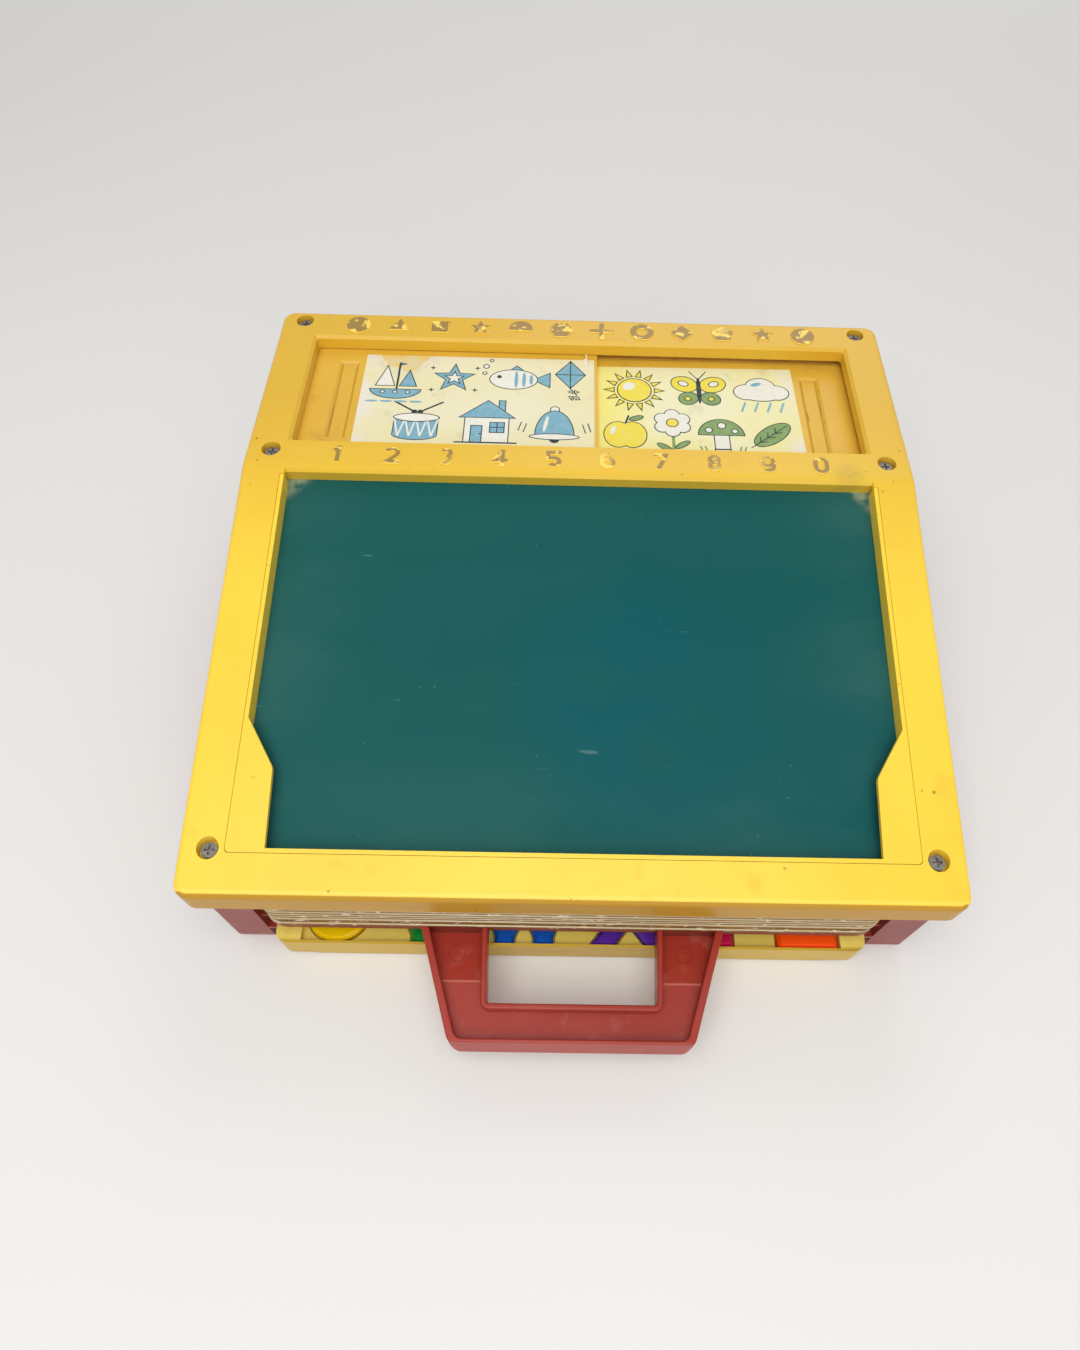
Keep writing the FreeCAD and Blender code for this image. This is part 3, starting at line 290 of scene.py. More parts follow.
def moulded(name, base, shade, dirt, wear=0.2, roughness=0.32):
    """Old moulded plastic: uneven colour, dirt in patches, rubbed places and fine scratches."""
    finish = Finish(name, roughness=roughness)
    cloud = finish.patches(0.35, 0.7, 14, 4)
    colour = finish.mix(cloud, base, shade)
    grime = finish.times(finish.patches(0.58, 0.76, 55, 6, shift=(3.1, 1.7, 0.4)), wear)
    colour = finish.mix(grime, colour, dirt)
    scratch = finish.patches(0.70, 0.78, 45, 2, stretch=(1.0, 14.0, 6.0), shift=(0.3, 4.0, 2.0))
    crossing = finish.patches(0.71, 0.79, 45, 2, stretch=(14.0, 1.0, 6.0), shift=(5.3, 0.2, 1.0))
    level = finish.ramp(finish.flatness(), 0.5, 0.9)
    lines = finish.times(finish.calc("MAXIMUM", scratch, crossing), level)
    grain = finish.noise(700, 2)
    soiled = finish.ramp(finish.times(grime, level), 0.0, wear, roughness, roughness + 0.16)
    finish.gloss(finish.calc("ADD", soiled, finish.times(lines, 0.10)))
    height = finish.calc("SUBTRACT", finish.times(grain, 0.25), finish.times(lines, 0.4))
    finish.relief(height, 0.06, MOULD_RELIEF)
    return finish, colour


def specked(finish, colour, cells, size, amount, dark, shift=(0.0, 0.0, 0.0)):
    """Sparse small marks on a colour."""
    mark = finish.times(finish.dots(cells, size, shift), finish.patches(0.55, 0.62, 33, 2, shift=shift))
    return finish.over(colour, mark, amount, dark)


def top_finish():
    """Yellow of the top: paler at the front as a painted shade darkens it towards the back, darker and duller
    on its skirt by painted shade and less shine, with a painted highlight along its front edge and on the
    raised figures, and worn paint on the figures.
    """
    finish, colour = moulded("top_yellow_plastic", tone(250, 212, 66), tone(247, 205, 60), tone(196, 150, 52),
                             roughness=0.27)
    # Painted shade: darker towards the back of the top
    back_shade = finish.ramp(finish.y, *TOP_BACK_SHADE)
    colour = finish.over(colour, back_shade, 0.9, tone(221, 176, 52))
    # Painted highlight: a pale band along the front edge, just behind its rounding
    edge = finish.times(finish.ramp(finish.y, SKIRT_TOP - HIGHLIGHT_BLEND, SKIRT_TOP + HIGHLIGHT_BLEND),
                        finish.ramp(finish.y, SKIRT_TOP + 2 * SKIRT_BLEND, SKIRT_TOP + SKIRT_BLEND))
    colour = finish.over(colour, edge, 0.5, tone(255, 226, 104))
    # Painted shade on the front skirt and the lower part of its rounding
    front = finish.ramp(finish.y, SKIRT_TOP + SKIRT_BLEND, SKIRT_TOP)
    skirt = finish.times(finish.ramp(finish.upward, 0.965, 0.90), front)
    colour = finish.over(colour, skirt, 0.92, tone(179, 132, 45))
    finish.feed(finish.ramp(skirt, 0.0, 1.0, 0.3, 0.12), finish.shader.inputs["Specular IOR Level"])
    colour = specked(finish, colour, 110, 0.11, 0.7, tone(128, 92, 34))
    smudge = finish.times(finish.ramp(finish.near(*TOP_SMUDGE), 1.0, 0.1), finish.noise(260, 4))
    colour = finish.over(colour, smudge, 0.55, tone(140, 130, 58))
    nick = finish.times(finish.ramp(finish.near(*TOP_NICK), 1.0, 0.4), finish.patches(0.60, 0.66, 700, 4))
    colour = finish.over(colour, nick, 0.8, tone(120, 84, 30))
    # Painted highlight: lighter yellow on the raised figures, from low on their sides up
    figure_highlight = finish.ramp(finish.z, DECK_LEVEL + 0.1 * FIGURE_RISE, DECK_LEVEL + 0.375 * FIGURE_RISE)
    colour = finish.over(colour, figure_highlight, 0.9, tone(255, 222, 100))
    tops = finish.ramp(finish.z, TOP_LEVEL - 0.15 * FIGURE_RISE, TOP_LEVEL - 0.05 * FIGURE_RISE)
    paint = finish.patches(0.40, 0.45, 170, 5, shift=(1.0, 2.0, 0.0))
    spread = finish.patches(0.34, 0.44, 24, 2, shift=(2.4, 0.0, 0.0))
    worn = finish.times(tops, finish.times(paint, spread))
    colour = finish.over(colour, worn, 0.92, tone(148, 116, 56))
    finish.colour(colour)
    return finish.material


def guide_finish():
    """Yellow of the card guide, with brown dirt along its edges."""
    finish, colour = moulded("guide_yellow_plastic", tone(250, 212, 68), tone(248, 207, 62),
                             tone(200, 152, 50))
    edge = finish.patches(0.66, 0.72, 120, 5, stretch=(1.0, 4.0, 4.0))
    colour = finish.over(colour, edge, 0.4, tone(150, 112, 44))
    finish.colour(colour)
    return finish.material


def door_finish(name, top, pull):
    """Ochre of a sliding door, scratched in its finger pull, with painted shade on the pull's walls."""
    finish, colour = moulded(name, tone(226, 181, 63), tone(217, 172, 57), tone(160, 118, 44), wear=0.3)
    colour = specked(finish, colour, 150, 0.10, 0.7, tone(96, 70, 30), shift=(0.4, 0.2, 0.0))
    across = finish.ramp(finish.apart(finish.x, pull), PULL_HALF_WIDTH + PULL_BLEND, PULL_HALF_WIDTH)
    sunk = finish.times(finish.ramp(finish.z, top - PULL_RIM, top - PULL_FLOOR), across)
    colour = finish.over(colour, sunk, 0.5, tone(220, 178, 62))
    # Painted shade on the walls of the finger pull
    pull_wall_shade = finish.times(sunk, finish.ramp(finish.upward, 0.95, 0.80))
    colour = finish.over(colour, pull_wall_shade, 0.6, tone(188, 138, 36))
    score = finish.patches(0.62, 0.65, 260, 3, stretch=(1.0, 0.05, 1.0), shift=(0.0, 1.0, 0.0))
    colour = finish.over(colour, finish.times(score, sunk), 0.6, tone(104, 76, 28))
    finish.colour(colour)
    return finish.material


def bin_finish():
    """Inside of the chalk bin: dull yellow with chalk dust on its floor."""
    finish, colour = moulded("bin_yellow_plastic", tone(206, 164, 70), tone(196, 152, 62), tone(140, 104, 46),
                             wear=0.4, roughness=0.48)
    dust = finish.times(finish.ramp(finish.z, *BIN_DUST), finish.patches(0.38, 0.66, 60, 6))
    colour = finish.over(colour, dust, 0.7, tone(214, 210, 196))
    finish.colour(colour)
    return finish.material


def red_finish(name, base, shade, sheen_share):
    """Red plastic with pale pinkish patches of painted sheen, and pale scuffs."""
    finish, colour = moulded(name, base, shade, tone(112, 36, 28), wear=0.25)
    # Painted sheen: pale pinkish patches
    pink_sheen = finish.times(finish.patches(0.40, 0.80, 24, 5, shift=(7.0, 1.0, 3.0)), sheen_share)
    colour = finish.mix(pink_sheen, colour, tone(186, 100, 90))
    scuff = finish.patches(0.71, 0.75, 130, 6, stretch=(1.0, 1.0, 0.4), shift=(0.0, 9.0, 2.0))
    colour = finish.over(colour, scuff, 0.3, tone(206, 146, 134))
    return finish, colour


def base_finish():
    """Red of the base, greyer on its upright sides by a painted sheen, and scuffed near its foot."""
    finish, colour = red_finish("base_red_plastic", tone(146, 51, 43), tone(138, 45, 38), 0.2)
    # Painted sheen: the upright sides are turned greyer
    side = finish.ramp(finish.flatness(), 0.5, 0.1)
    colour = finish.over(colour, side, 0.30, tone(118, 72, 72))
    finish.feed(0.2, finish.shader.inputs["Specular IOR Level"])
    foot = finish.times(finish.ramp(finish.z, *FOOT_SCUFFS), finish.patches(0.44, 0.60, 85, 7))
    colour = finish.over(colour, finish.times(foot, side), 0.45, tone(176, 122, 114))
    scrape = finish.patches(0.68, 0.71, 26, 4, stretch=(1.0, 1.0, 22.0), shift=(0.0, 0.0, 6.0))
    colour = finish.over(colour, finish.times(scrape, side), 0.35, tone(196, 140, 130))
    finish.colour(colour)
    return finish.material


def handle_finish():
    """Red of the handle: deeper on each arm behind the crease by a painted shade, with a painted highlight
    along the crease in the channel, painted shade on the shelf behind its front, dust in the channel and
    round moulding marks.
    """
    finish, colour = red_finish("handle_red_plastic", tone(166, 56, 43), tone(158, 50, 38), 0.15)
    # Painted shade: each arm behind the crease is deeper red
    arm_shade = finish.ramp(finish.y, HANDLE_CREASE_Y - CREASE_BLEND, HANDLE_CREASE_Y + CREASE_BLEND)
    colour = finish.over(colour, arm_shade, 0.5, tone(160, 48, 32))
    crease = finish.ramp(finish.apart(finish.y, HANDLE_CREASE_Y), *CREASE_WIDTH)
    # Painted shade on the shelf behind its front, under the cards
    lip_shade = finish.ramp(finish.y, *[SHELF_FRONT - depth for depth in LIP_SHADE_DEPTH])
    colour = finish.over(colour, lip_shade, 0.8, tone(112, 40, 26))
    channel = finish.times(finish.ramp(finish.z, *CHANNEL_TOP), finish.ramp(finish.z, *CHANNEL_FLOOR))
    dust = finish.times(channel, finish.patches(0.54, 0.76, 90, 6, shift=(1.0, 5.0, 0.0)))
    colour = finish.over(colour, dust, 0.3, tone(200, 132, 114))
    # Painted highlight along the crease in the channel
    colour = finish.over(colour, finish.times(crease, channel), 0.6, tone(208, 128, 108))
    for x, y in MOULDING_MARKS:
        off = finish.near(x, y, MARK_RADIUS)
        ring = finish.times(finish.ramp(off, 0.84, 0.92), finish.ramp(off, 1.06, 0.98))
        colour = finish.over(colour, finish.times(ring, channel), 0.5, tone(120, 36, 28))
    finish.colour(colour)
    return finish.material


def board_finish():
    """Green chalkboard paint with wiped chalk, specks, scratches and dusty corners."""
    finish = Finish("chalkboard_paint", roughness=0.5, specular=0.07)
    deep = finish.mix(finish.patches(0.3, 0.7, 6, 3), tone(22, 87, 83), tone(14, 83, 84))
    pool = finish.ramp(finish.near(*BOARD_POOL), 1.0, 0.2)
    pool = finish.times(pool, finish.patches(0.3, 0.6, 22, 4))
    colour = finish.over(deep, pool, 0.7, tone(6, 86, 96))
    side = finish.calc("ABSOLUTE", finish.x)
    haze = finish.calc("MAXIMUM", finish.ramp(side, *HAZE_ACROSS), finish.ramp(finish.y, *HAZE_ALONG))
    wiped = finish.noise(16, 5, stretch=(0.5, 1.4, 1.0), shift=(0.0, 3.0, 1.0))
    haze = finish.times(finish.calc("ADD", finish.times(haze, 0.15), 0.03), finish.ramp(wiped, 0.25, 0.75))
    colour = finish.mix(haze, colour, tone(96, 134, 130))
    colour = specked(finish, colour, 170, 0.085, 0.8, tone(8, 42, 40))
    colour = specked(finish, colour, 190, 0.065, 0.55, tone(150, 176, 168), shift=(4.37, 0.11, 0.0))
    stroke = finish.patches(0.745, 0.77, 30, 3, stretch=(1.0, 9.0, 1.0), shift=(2.0, 0.5, 0.0))
    colour = finish.over(colour, stroke, 0.28, tone(126, 158, 152))
    corner = finish.calc("ADD", finish.calc("SUBTRACT", BOARD_HALF_WIDTH, side),
                         finish.calc("SUBTRACT", BOARD_TOP_Y, finish.y))
    dusty = finish.times(finish.ramp(corner, *CORNER_DUST), finish.patches(0.3, 0.6, 150, 5))
    colour = finish.over(colour, dusty, 0.75, tone(150, 162, 132))
    finish.colour(colour)
    finish.gloss(finish.ramp(wiped, 0.3, 0.7, 0.42, 0.58))
    finish.relief(finish.noise(1400, 2), 0.08, FINE_RELIEF)
    return finish.material


def paper_finish(name, base, tint, yellow_side):
    """Glued paper, yellowed in patches and greyed along its upright edges."""
    finish = Finish(name, roughness=0.55)
    yellowed = finish.patches(0.30, 0.66, 18, 4, shift=(1.3, 0.6, 0.0))
    colour = finish.over(base, yellowed, 0.8, tint)
    lower = finish.times(finish.ramp(finish.y, *LABEL_YELLOWING), finish.patches(0.25, 0.6, 30, 3))
    colour = finish.over(colour, lower, 0.6, tint)
    if yellow_side:
        left = finish.ramp(finish.x, yellow_side + YELLOW_REACH, yellow_side)
        colour = finish.over(colour, left, 0.7, tone(242, 230, 104))
    stain = finish.times(finish.patches(0.60, 0.72, 70, 6), 0.30)
    colour = finish.mix(stain, colour, tone(196, 182, 140))
    rubbed = finish.times(finish.ramp(finish.calc("ABSOLUTE", finish.x), *LABEL_RUBBING),
                          finish.patches(0.36, 0.6, 90, 5, stretch=(1.0, 0.4, 1.0)))
    colour = finish.over(colour, rubbed, 0.7, tone(234, 228, 222))
    return finish, colour


def left_paper_finish():
    """Paper of the left label, with a torn patch at its upper edge that shows glue and ochre."""
    finish, colour = paper_finish("left_label_paper", tone(236, 230, 202), tone(232, 224, 174), None)
    ragged = finish.calc("ADD", finish.near(*LABEL_TEAR), finish.times(finish.noise(130, 5), 0.8))
    greyed = finish.times(finish.ramp(ragged, 1.85, 1.45), finish.patches(0.35, 0.6, 300, 4))
    colour = finish.over(colour, greyed, 0.45, tone(206, 198, 188))
    torn = finish.ramp(ragged, 1.40, 1.34)
    glue = finish.mix(finish.patches(0.42, 0.60, 110, 4, shift=(0.0, 3.0, 0.0)),
                      tone(224, 206, 158), tone(234, 200, 104))
    colour = finish.over(colour, torn, 0.9, glue)
    finish.colour(colour)
    finish.relief(finish.calc("SUBTRACT", finish.times(finish.noise(900, 3), 0.3), torn), 0.2, FINE_RELIEF)
    return finish.material


def right_paper_finish():
    """Paper of the right label, yellow towards the middle of the desk."""
    finish, colour = paper_finish("right_label_paper", tone(238, 234, 202), tone(238, 230, 156),
                                  RIGHT_LABEL_LEFT)
    finish.colour(colour)
    finish.relief(finish.noise(900, 3), 0.1, FINE_RELIEF)
    return finish.material


def card_finish():
    """Brown board: pale flecks and slivers along the cut edges, buff paper on the faces."""
    finish = Finish("card_board", roughness=0.8, specular=0.2)
    fibre = finish.noise(34, 6, stretch=(1.0, 1.0, 30.0))
    colour = finish.mix(finish.ramp(fibre, 0.38, 0.60), tone(106, 73, 30), tone(146, 107, 50))
    fleck = finish.patches(0.64, 0.66, 210, 5, stretch=(1.0, 1.0, 3.4), shift=(2.0, 0.0, 1.0))
    sliver = finish.patches(0.65, 0.67, 75, 6, stretch=(1.0, 1.0, 11.0), shift=(0.0, 0.0, 4.0))
    colour = finish.over(colour, finish.calc("MAXIMUM", fleck, sliver), 0.95, tone(255, 249, 232))
    # Painted highlight along the lower edge of the lowest card
    low = finish.times(finish.ramp(finish.z, *LOW_CARD_EDGE),
                       finish.patches(0.34, 0.44, 26, 4, shift=(0.5, 0.0, 0.0)))
    colour = finish.over(colour, low, 0.9, tone(244, 230, 196))
    face = finish.mix(finish.patches(0.3, 0.7, 12, 5), tone(226, 214, 184), tone(214, 198, 162))
    fox = finish.patches(0.62, 0.74, 60, 6, shift=(4.0, 4.0, 0.0))
    face = finish.over(face, fox, 0.4, tone(178, 146, 96))
    flat = finish.ramp(finish.flatness(), 0.5, 0.9)
    finish.colour(finish.mix(flat, colour, face))
    finish.relief(fibre, 0.15, FINE_RELIEF)
    return finish.material


def tray_finish():
    """Pale yellow of the tray, with painted shade on its front face and brown streaks along its front."""
    finish, colour = moulded("tray_pale_plastic", tone(242, 216, 106), tone(234, 204, 92), tone(176, 136, 56),
                             wear=0.3)
    front = finish.ramp(finish.y, *TRAY_FACE)
    streak = finish.patches(0.56, 0.74, 22, 6, stretch=(1.0, 1.0, 9.0), shift=(0.0, 2.0, 0.0))
    # Painted shade on the front face
    colour = finish.over(colour, front, 0.85, tone(193, 155, 26))
    colour = finish.over(colour, finish.times(front, streak), 0.4, tone(150, 114, 50))
    finish.colour(colour)
    return finish.material


def letter_finish(name, base, shade):
    """Glossy plastic of a letter, a little rubbed."""
    finish, colour = moulded(name, base, shade, shade, wear=0.25, roughness=0.26)
    rubbed = finish.patches(0.66, 0.74, 190, 5, shift=(2.0, 0.0, 5.0))
    colour = finish.over(colour, rubbed, 0.12, tone(240, 236, 224))
    finish.colour(colour)
    return finish.material


def steel_finish():
    """Dull plated steel, brushed and spotted."""
    finish = Finish("screw_dull_steel", roughness=0.42, specular=0.5, metallic=0.6)
    brushed = finish.noise(420, 3, stretch=(1.0, 6.0, 1.0))
    colour = finish.mix(finish.ramp(brushed, 0.3, 0.7), tone(110, 106, 102), tone(152, 148, 140))
    spot = finish.patches(0.56, 0.66, 900, 4, shift=(3.0, 1.0, 0.0))
    colour = finish.over(colour, spot, 0.6, tone(70, 62, 54))
    finish.colour(colour)
    finish.relief(brushed, 0.2, FINE_RELIEF)
    return finish.material


def magnet_finish():
    """Grainy dark grey of the magnets."""
    finish = Finish("magnet_ferrite", roughness=0.6)
    grain = finish.noise(1200, 4)
    finish.colour(finish.mix(grain, tone(44, 42, 42), tone(82, 80, 78)))
    finish.relief(grain, 0.2, FINE_RELIEF)
    return finish.material


def ink_finish(name, base, shade):
    """Printed ink, a little uneven where the paper shows through."""
    finish = Finish(name, roughness=0.6)
    thin = finish.patches(0.42, 0.68, 320, 5)
    finish.colour(finish.over(base, thin, 0.6, shade))
    return finish.material


def dress(material, *names):
    """Give a finish to named pieces of the desk."""
    for name in names:
        for place in nodes[name].material_slots:
            place.material = material


def dress_desk():
    """Give every piece of the desk its finish."""
    dress(top_finish(), "top_frame")
    dress(guide_finish(), "card_guide")
    dress(board_finish(), "chalkboard")
    dress(bin_finish(), "chalk_bin")
    dress(door_finish("left_door_plastic", LEFT_DOOR_TOP, -PULL_X), "door_left")
    dress(door_finish("right_door_plastic", RIGHT_DOOR_TOP, PULL_X), "door_right")
    dress(left_paper_finish(), "label_left")
    dress(right_paper_finish(), "label_right")
    dress(base_finish(), "base_frame")
    dress(handle_finish(), "handle_shelf")
    dress(steel_finish(), "case_screws", "shelf_screws")
    dress(tray_finish(), "letter_tray")
    dress(magnet_finish(), "letter_magnets")
    dress(card_finish(), *[name for name in nodes if name.startswith("stencil_card_")])
    finishes = [letter_finish("letter_" + name + "_plastic", tone(*base), tone(*shade))
                for name, base, shade in LETTER_COLOURS]
    for index, letter in enumerate(string.ascii_lowercase):
        dress(finishes[(index - FRONT_ROW_START) % len(finishes)], "letter_" + letter)


def deselect():
    bpy.ops.object.select_all(action="DESELECT")


def cut_shape(corners, spin=0.0, pinch=None, half=False):
    """A flat shape 1 m across: a many-cornered disc, turned, pinched to a star or halved."""
    deselect()
    bpy.ops.mesh.primitive_circle_add(vertices=corners, radius=0.5, fill_type="NGON",
                                      rotation=(0.0, 0.0, math.radians(spin)))
    bpy.ops.object.transform_apply(location=False, rotation=True, scale=False)
    shape = bpy.context.object
    bpy.ops.object.mode_set(mode="EDIT")
    if pinch:
        bpy.ops.mesh.select_all(action="DESELECT")
        bpy.ops.object.mode_set(mode="OBJECT")
        for point in shape.data.vertices:
            point.select = point.index % 2 == 1
        bpy.ops.object.mode_set(mode="EDIT")
        bpy.ops.transform.resize(value=(pinch, pinch, 1.0), center_override=(0.0, 0.0, 0.0))
    if half:
        bpy.ops.mesh.select_all(action="SELECT")
        bpy.ops.mesh.bisect(plane_co=(0.0, 0.0, 0.0), plane_no=(0.0, 1.0, 0.0), clear_inner=True)
    bpy.ops.object.mode_set(mode="OBJECT")
    return shape


class Print:
    """The pictures of one sheet, drawn in thin layers of ink on its paper."""

    def __init__(self, name, paper, inks):
        self.name = name
        self.paper = paper
        self.inks = inks
        self.shapes = []

    def at(self, x, y, size):
        """Start a picture at a place, in units of its size."""
        self.x, self.y, self.size = x, y, size
        self.layer = 0
        return self

    def lay(self, shape, x, y, wide, tall, turn, tint, outlined):
        """Size, turn and place a shape, ink its outline and stand it on the paper."""
        self.layer += 1
        height = self.layer * INK_STEP
        shape.scale = (wide * self.size, tall * self.size, 1.0)
        shape.rotation_euler = (0.0, 0.0, math.radians(turn))
        shape.location = (self.x + x * self.size, self.y + y * self.size, self.paper + height)
        bpy.ops.object.transform_apply(location=True, rotation=True, scale=True)
        if outlined:
            shape.data.materials.append(self.inks["line"])
            shape.data.materials.append(self.inks[tint])
            bpy.ops.object.mode_set(mode="EDIT")
            bpy.ops.mesh.select_all(action="SELECT")
            bpy.ops.mesh.inset(thickness=INK_WIDTH, depth=0.0, use_boundary=True)
            shape.active_material_index = 1
            bpy.ops.object.material_slot_assign()
            bpy.ops.object.mode_set(mode="OBJECT")
        else:
            shape.data.materials.append(self.inks[tint])
        bpy.ops.object.modifier_add(type="SOLIDIFY")
        film = shape.modifiers[-1]
        film.thickness = height + INK_ROOT
        film.offset = -1.0
        bpy.ops.object.modifier_apply(modifier=film.name)
        self.shapes.append(shape)

    def disc(self, x, y, wide, tall, tint, turn=0.0, outlined=True):
        self.lay(cut_shape(DISC_CORNERS), x, y, wide, tall, turn, tint, outlined)

    def dome(self, x, y, wide, tall, tint, turn=0.0, outlined=True):
        self.lay(cut_shape(DOME_CORNERS, half=True), x, y, wide, tall, turn, tint, outlined)

    def wedge(self, x, y, wide, tall, tint, turn=0.0, outlined=True):
        """Triangle with its tip up, placed near the middle of its height."""
        uncut_tall = 0.75
        uncut_wide = math.sqrt(0.75)
        lift = tall / 8
        spin = math.radians(turn)
        self.lay(cut_shape(3), x + math.sin(spin) * lift, y - math.cos(spin) * lift, wide / uncut_wide,
                 tall / uncut_tall, turn, tint, outlined)

    def block(self, x, y, wide, tall, tint, turn=0.0, outlined=True):
        uncut = math.sqrt(0.5)
        self.lay(cut_shape(4, spin=45.0), x, y, wide / uncut, tall / uncut, turn, tint, outlined)

    def star(self, x, y, wide, tint, points=5, pinch=0.42, outlined=True):
        self.lay(cut_shape(2 * points, pinch=pinch), x, y, wide, wide, 0.0, tint, outlined)

    def kite(self, x, y, wide, tall, tint, turn=0.0, outlined=True):
        self.lay(cut_shape(4), x, y, wide, tall, turn, tint, outlined)

    def line(self, x0, y0, x1, y1, tint="line", width=INK_WIDTH):
        """A straight stroke of ink between two points."""
        length = math.hypot(x1 - x0, y1 - y0)
        turn = math.degrees(math.atan2(y1 - y0, x1 - x0))
        self.block((x0 + x1) / 2, (y0 + y1) / 2, length, width / self.size, tint, turn, False)

    def cluster(self, tint, discs):
        """Discs that run together under one outline."""
        rim = 2 * INK_WIDTH / self.size
        for x, y, wide, tall in discs:
            self.disc(x, y, wide + rim, tall + rim, "line", 0.0, False)
        for x, y, wide, tall in discs:
            self.disc(x, y, wide, tall, tint, 0.0, False)

    def finish(self, body, slot):
        """Join the shapes to one print that rides with the piece that carries it."""
        deselect()
        for shape in self.shapes:
            shape.select_set(True)
        bpy.context.view_layer.objects.active = self.shapes[0]
        bpy.ops.object.join()
        printed = bpy.context.object
        printed.name = self.name
        printed.data.name = self.name
        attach(printed, body)


def draw_boat(page):
    page.line(0.02, -0.22, 0.02, 0.56, width=2 * INK_WIDTH)
    page.wedge(-0.21, 0.16, 0.40, 0.62, "white")
    page.wedge(0.23, 0.10, 0.36, 0.50, "blue")
    page.wedge(0.09, 0.52, 0.10, 0.14, "blue", -90.0)
    page.dome(0.0, -0.20, 1.0, 0.56, "blue", 180.0)
    for x in (-0.24, 0.0, 0.24):
        page.disc(x, -0.29, 0.10, 0.10, "white")
    for x in (-0.42, -0.14, 0.14, 0.42):
        page.disc(x, -0.55, 0.24, 0.05, "blue", outlined=False)


def draw_star(page):
    page.star(0.0, 0.0, 1.05, "blue")
    page.star(0.0, 0.0, 0.52, "white")
    for x, y in ((-0.52, 0.34), (0.52, 0.36), (0.50, -0.40), (-0.50, -0.42)):
        page.star(x, y, 0.16, "line", 4, 0.3, outlined=False)


def draw_fish(page):
    page.wedge(0.50, 0.0, 0.46, 0.36, "blue", 90.0)
    page.wedge(0.0, 0.30, 0.40, 0.22, "blue")
    page.disc(-0.05, 0.0, 0.95, 0.58, "white")
    for x, tall in ((0.0, 0.48), (0.15, 0.42), (0.29, 0.28)):
        page.disc(x, 0.0, 0.07, tall, "blue", outlined=False)
    page.disc(-0.33, 0.07, 0.09, 0.09, "line", outlined=False)
    for x, y, wide in ((-0.62, 0.16, 0.10), (-0.60, 0.36, 0.13), (-0.50, 0.54, 0.09)):
        page.disc(x, y, wide, wide, "white")


def draw_kite(page):
    page.kite(0.0, 0.16, 0.68, 0.92, "blue")
    page.line(0.0, -0.30, 0.0, 0.62)
    page.line(-0.34, 0.16, 0.34, 0.16)
    page.line(0.0, -0.30, 0.14, -0.48)
    page.line(0.14, -0.48, 0.04, -0.66)
    for x, y, turn in ((0.07, -0.39, 40.0), (0.09, -0.58, 130.0)):
        page.wedge(x - 0.07, y, 0.13, 0.13, "white", turn + 50.0)
        page.wedge(x + 0.07, y, 0.13, 0.13, "white", turn - 130.0)


def draw_drum(page):
    page.line(-0.50, 0.60, -0.06, 0.30, width=2 * INK_WIDTH)
    page.line(0.50, 0.60, 0.06, 0.30, width=2 * INK_WIDTH)
    for x in (-0.06, 0.06):
        page.disc(x, 0.30, 0.12, 0.12, "line", outlined=False)
    page.dome(0.0, -0.36, 0.90, 0.30, "blue", 180.0)
    page.block(0.0, -0.12, 0.90, 0.50, "blue")
    page.block(0.0, -0.36, 0.86, 0.05, "blue", outlined=False)
    for start in range(4):
        x = -0.44 + 0.22 * start
        page.line(x, 0.10, x + 0.11, -0.40, "white", 1.6 * INK_WIDTH)
        page.line(x + 0.11, -0.40, x + 0.22, 0.10, "white", 1.6 * INK_WIDTH)
    page.disc(0.0, 0.13, 0.94, 0.26, "white")


def draw_house(page):
    page.block(0.26, 0.40, 0.14, 0.36, "blue")
    page.block(0.0, -0.20, 0.82, 0.66, "white")
    page.wedge(0.0, 0.32, 1.06, 0.48, "blue")
    page.block(-0.18, -0.31, 0.22, 0.44, "blue")
    page.disc(-0.11, -0.31, 0.04, 0.04, "line", outlined=False)
    page.block(0.19, -0.14, 0.28, 0.28, "blue")
    page.line(0.19, -0.28, 0.19, 0.0)
    page.line(0.05, -0.14, 0.33, -0.14)
    page.line(-0.56, -0.53, 0.56, -0.53, width=1.6 * INK_WIDTH)


def draw_bell(page):
    page.disc(0.0, -0.40, 0.20, 0.20, "line", outlined=False)
    page.disc(0.0, 0.42, 0.20, 0.20, "white")
    page.dome(0.0, -0.32, 0.78, 1.44, "blue")
    page.disc(-0.17, 0.02, 0.07, 0.44, "white", -10.0, outlined=False)
    page.disc(0.0, -0.33, 0.98, 0.18, "white")
    for side in (-1, 1):
        page.line(side * 0.54, 0.02, side * 0.60, -0.22)
        page.line(side * 0.64, 0.06, side * 0.70, -0.18)


def draw_sun(page):
    for index in range(14):
        angle = math.radians(360.0 / 14 * index)
        page.wedge(0.46 * math.cos(angle), 0.46 * math.sin(angle), 0.14, 0.22, "yellow",
                   math.degrees(angle) - 90.0)
    page.disc(0.0, 0.0, 0.64, 0.64, "yellow")
    page.disc(-0.10, 0.10, 0.24, 0.20, "white", 35.0, outlined=False)


def draw_butterfly(page):
    for side in (-1, 1):
        page.line(0.0, 0.30, side * 0.16, 0.54)
        page.disc(side * 0.27, 0.17, 0.54, 0.44, "yellow", side * 25.0)
        page.disc(side * 0.29, 0.19, 0.22, 0.16, "white", side * 25.0)
        page.disc(side * 0.21, -0.22, 0.40, 0.36, "green", -side * 30.0)
        page.disc(side * 0.22, -0.23, 0.13, 0.13, "yellow")
    page.disc(0.0, 0.0, 0.09, 0.72, "line", outlined=False)


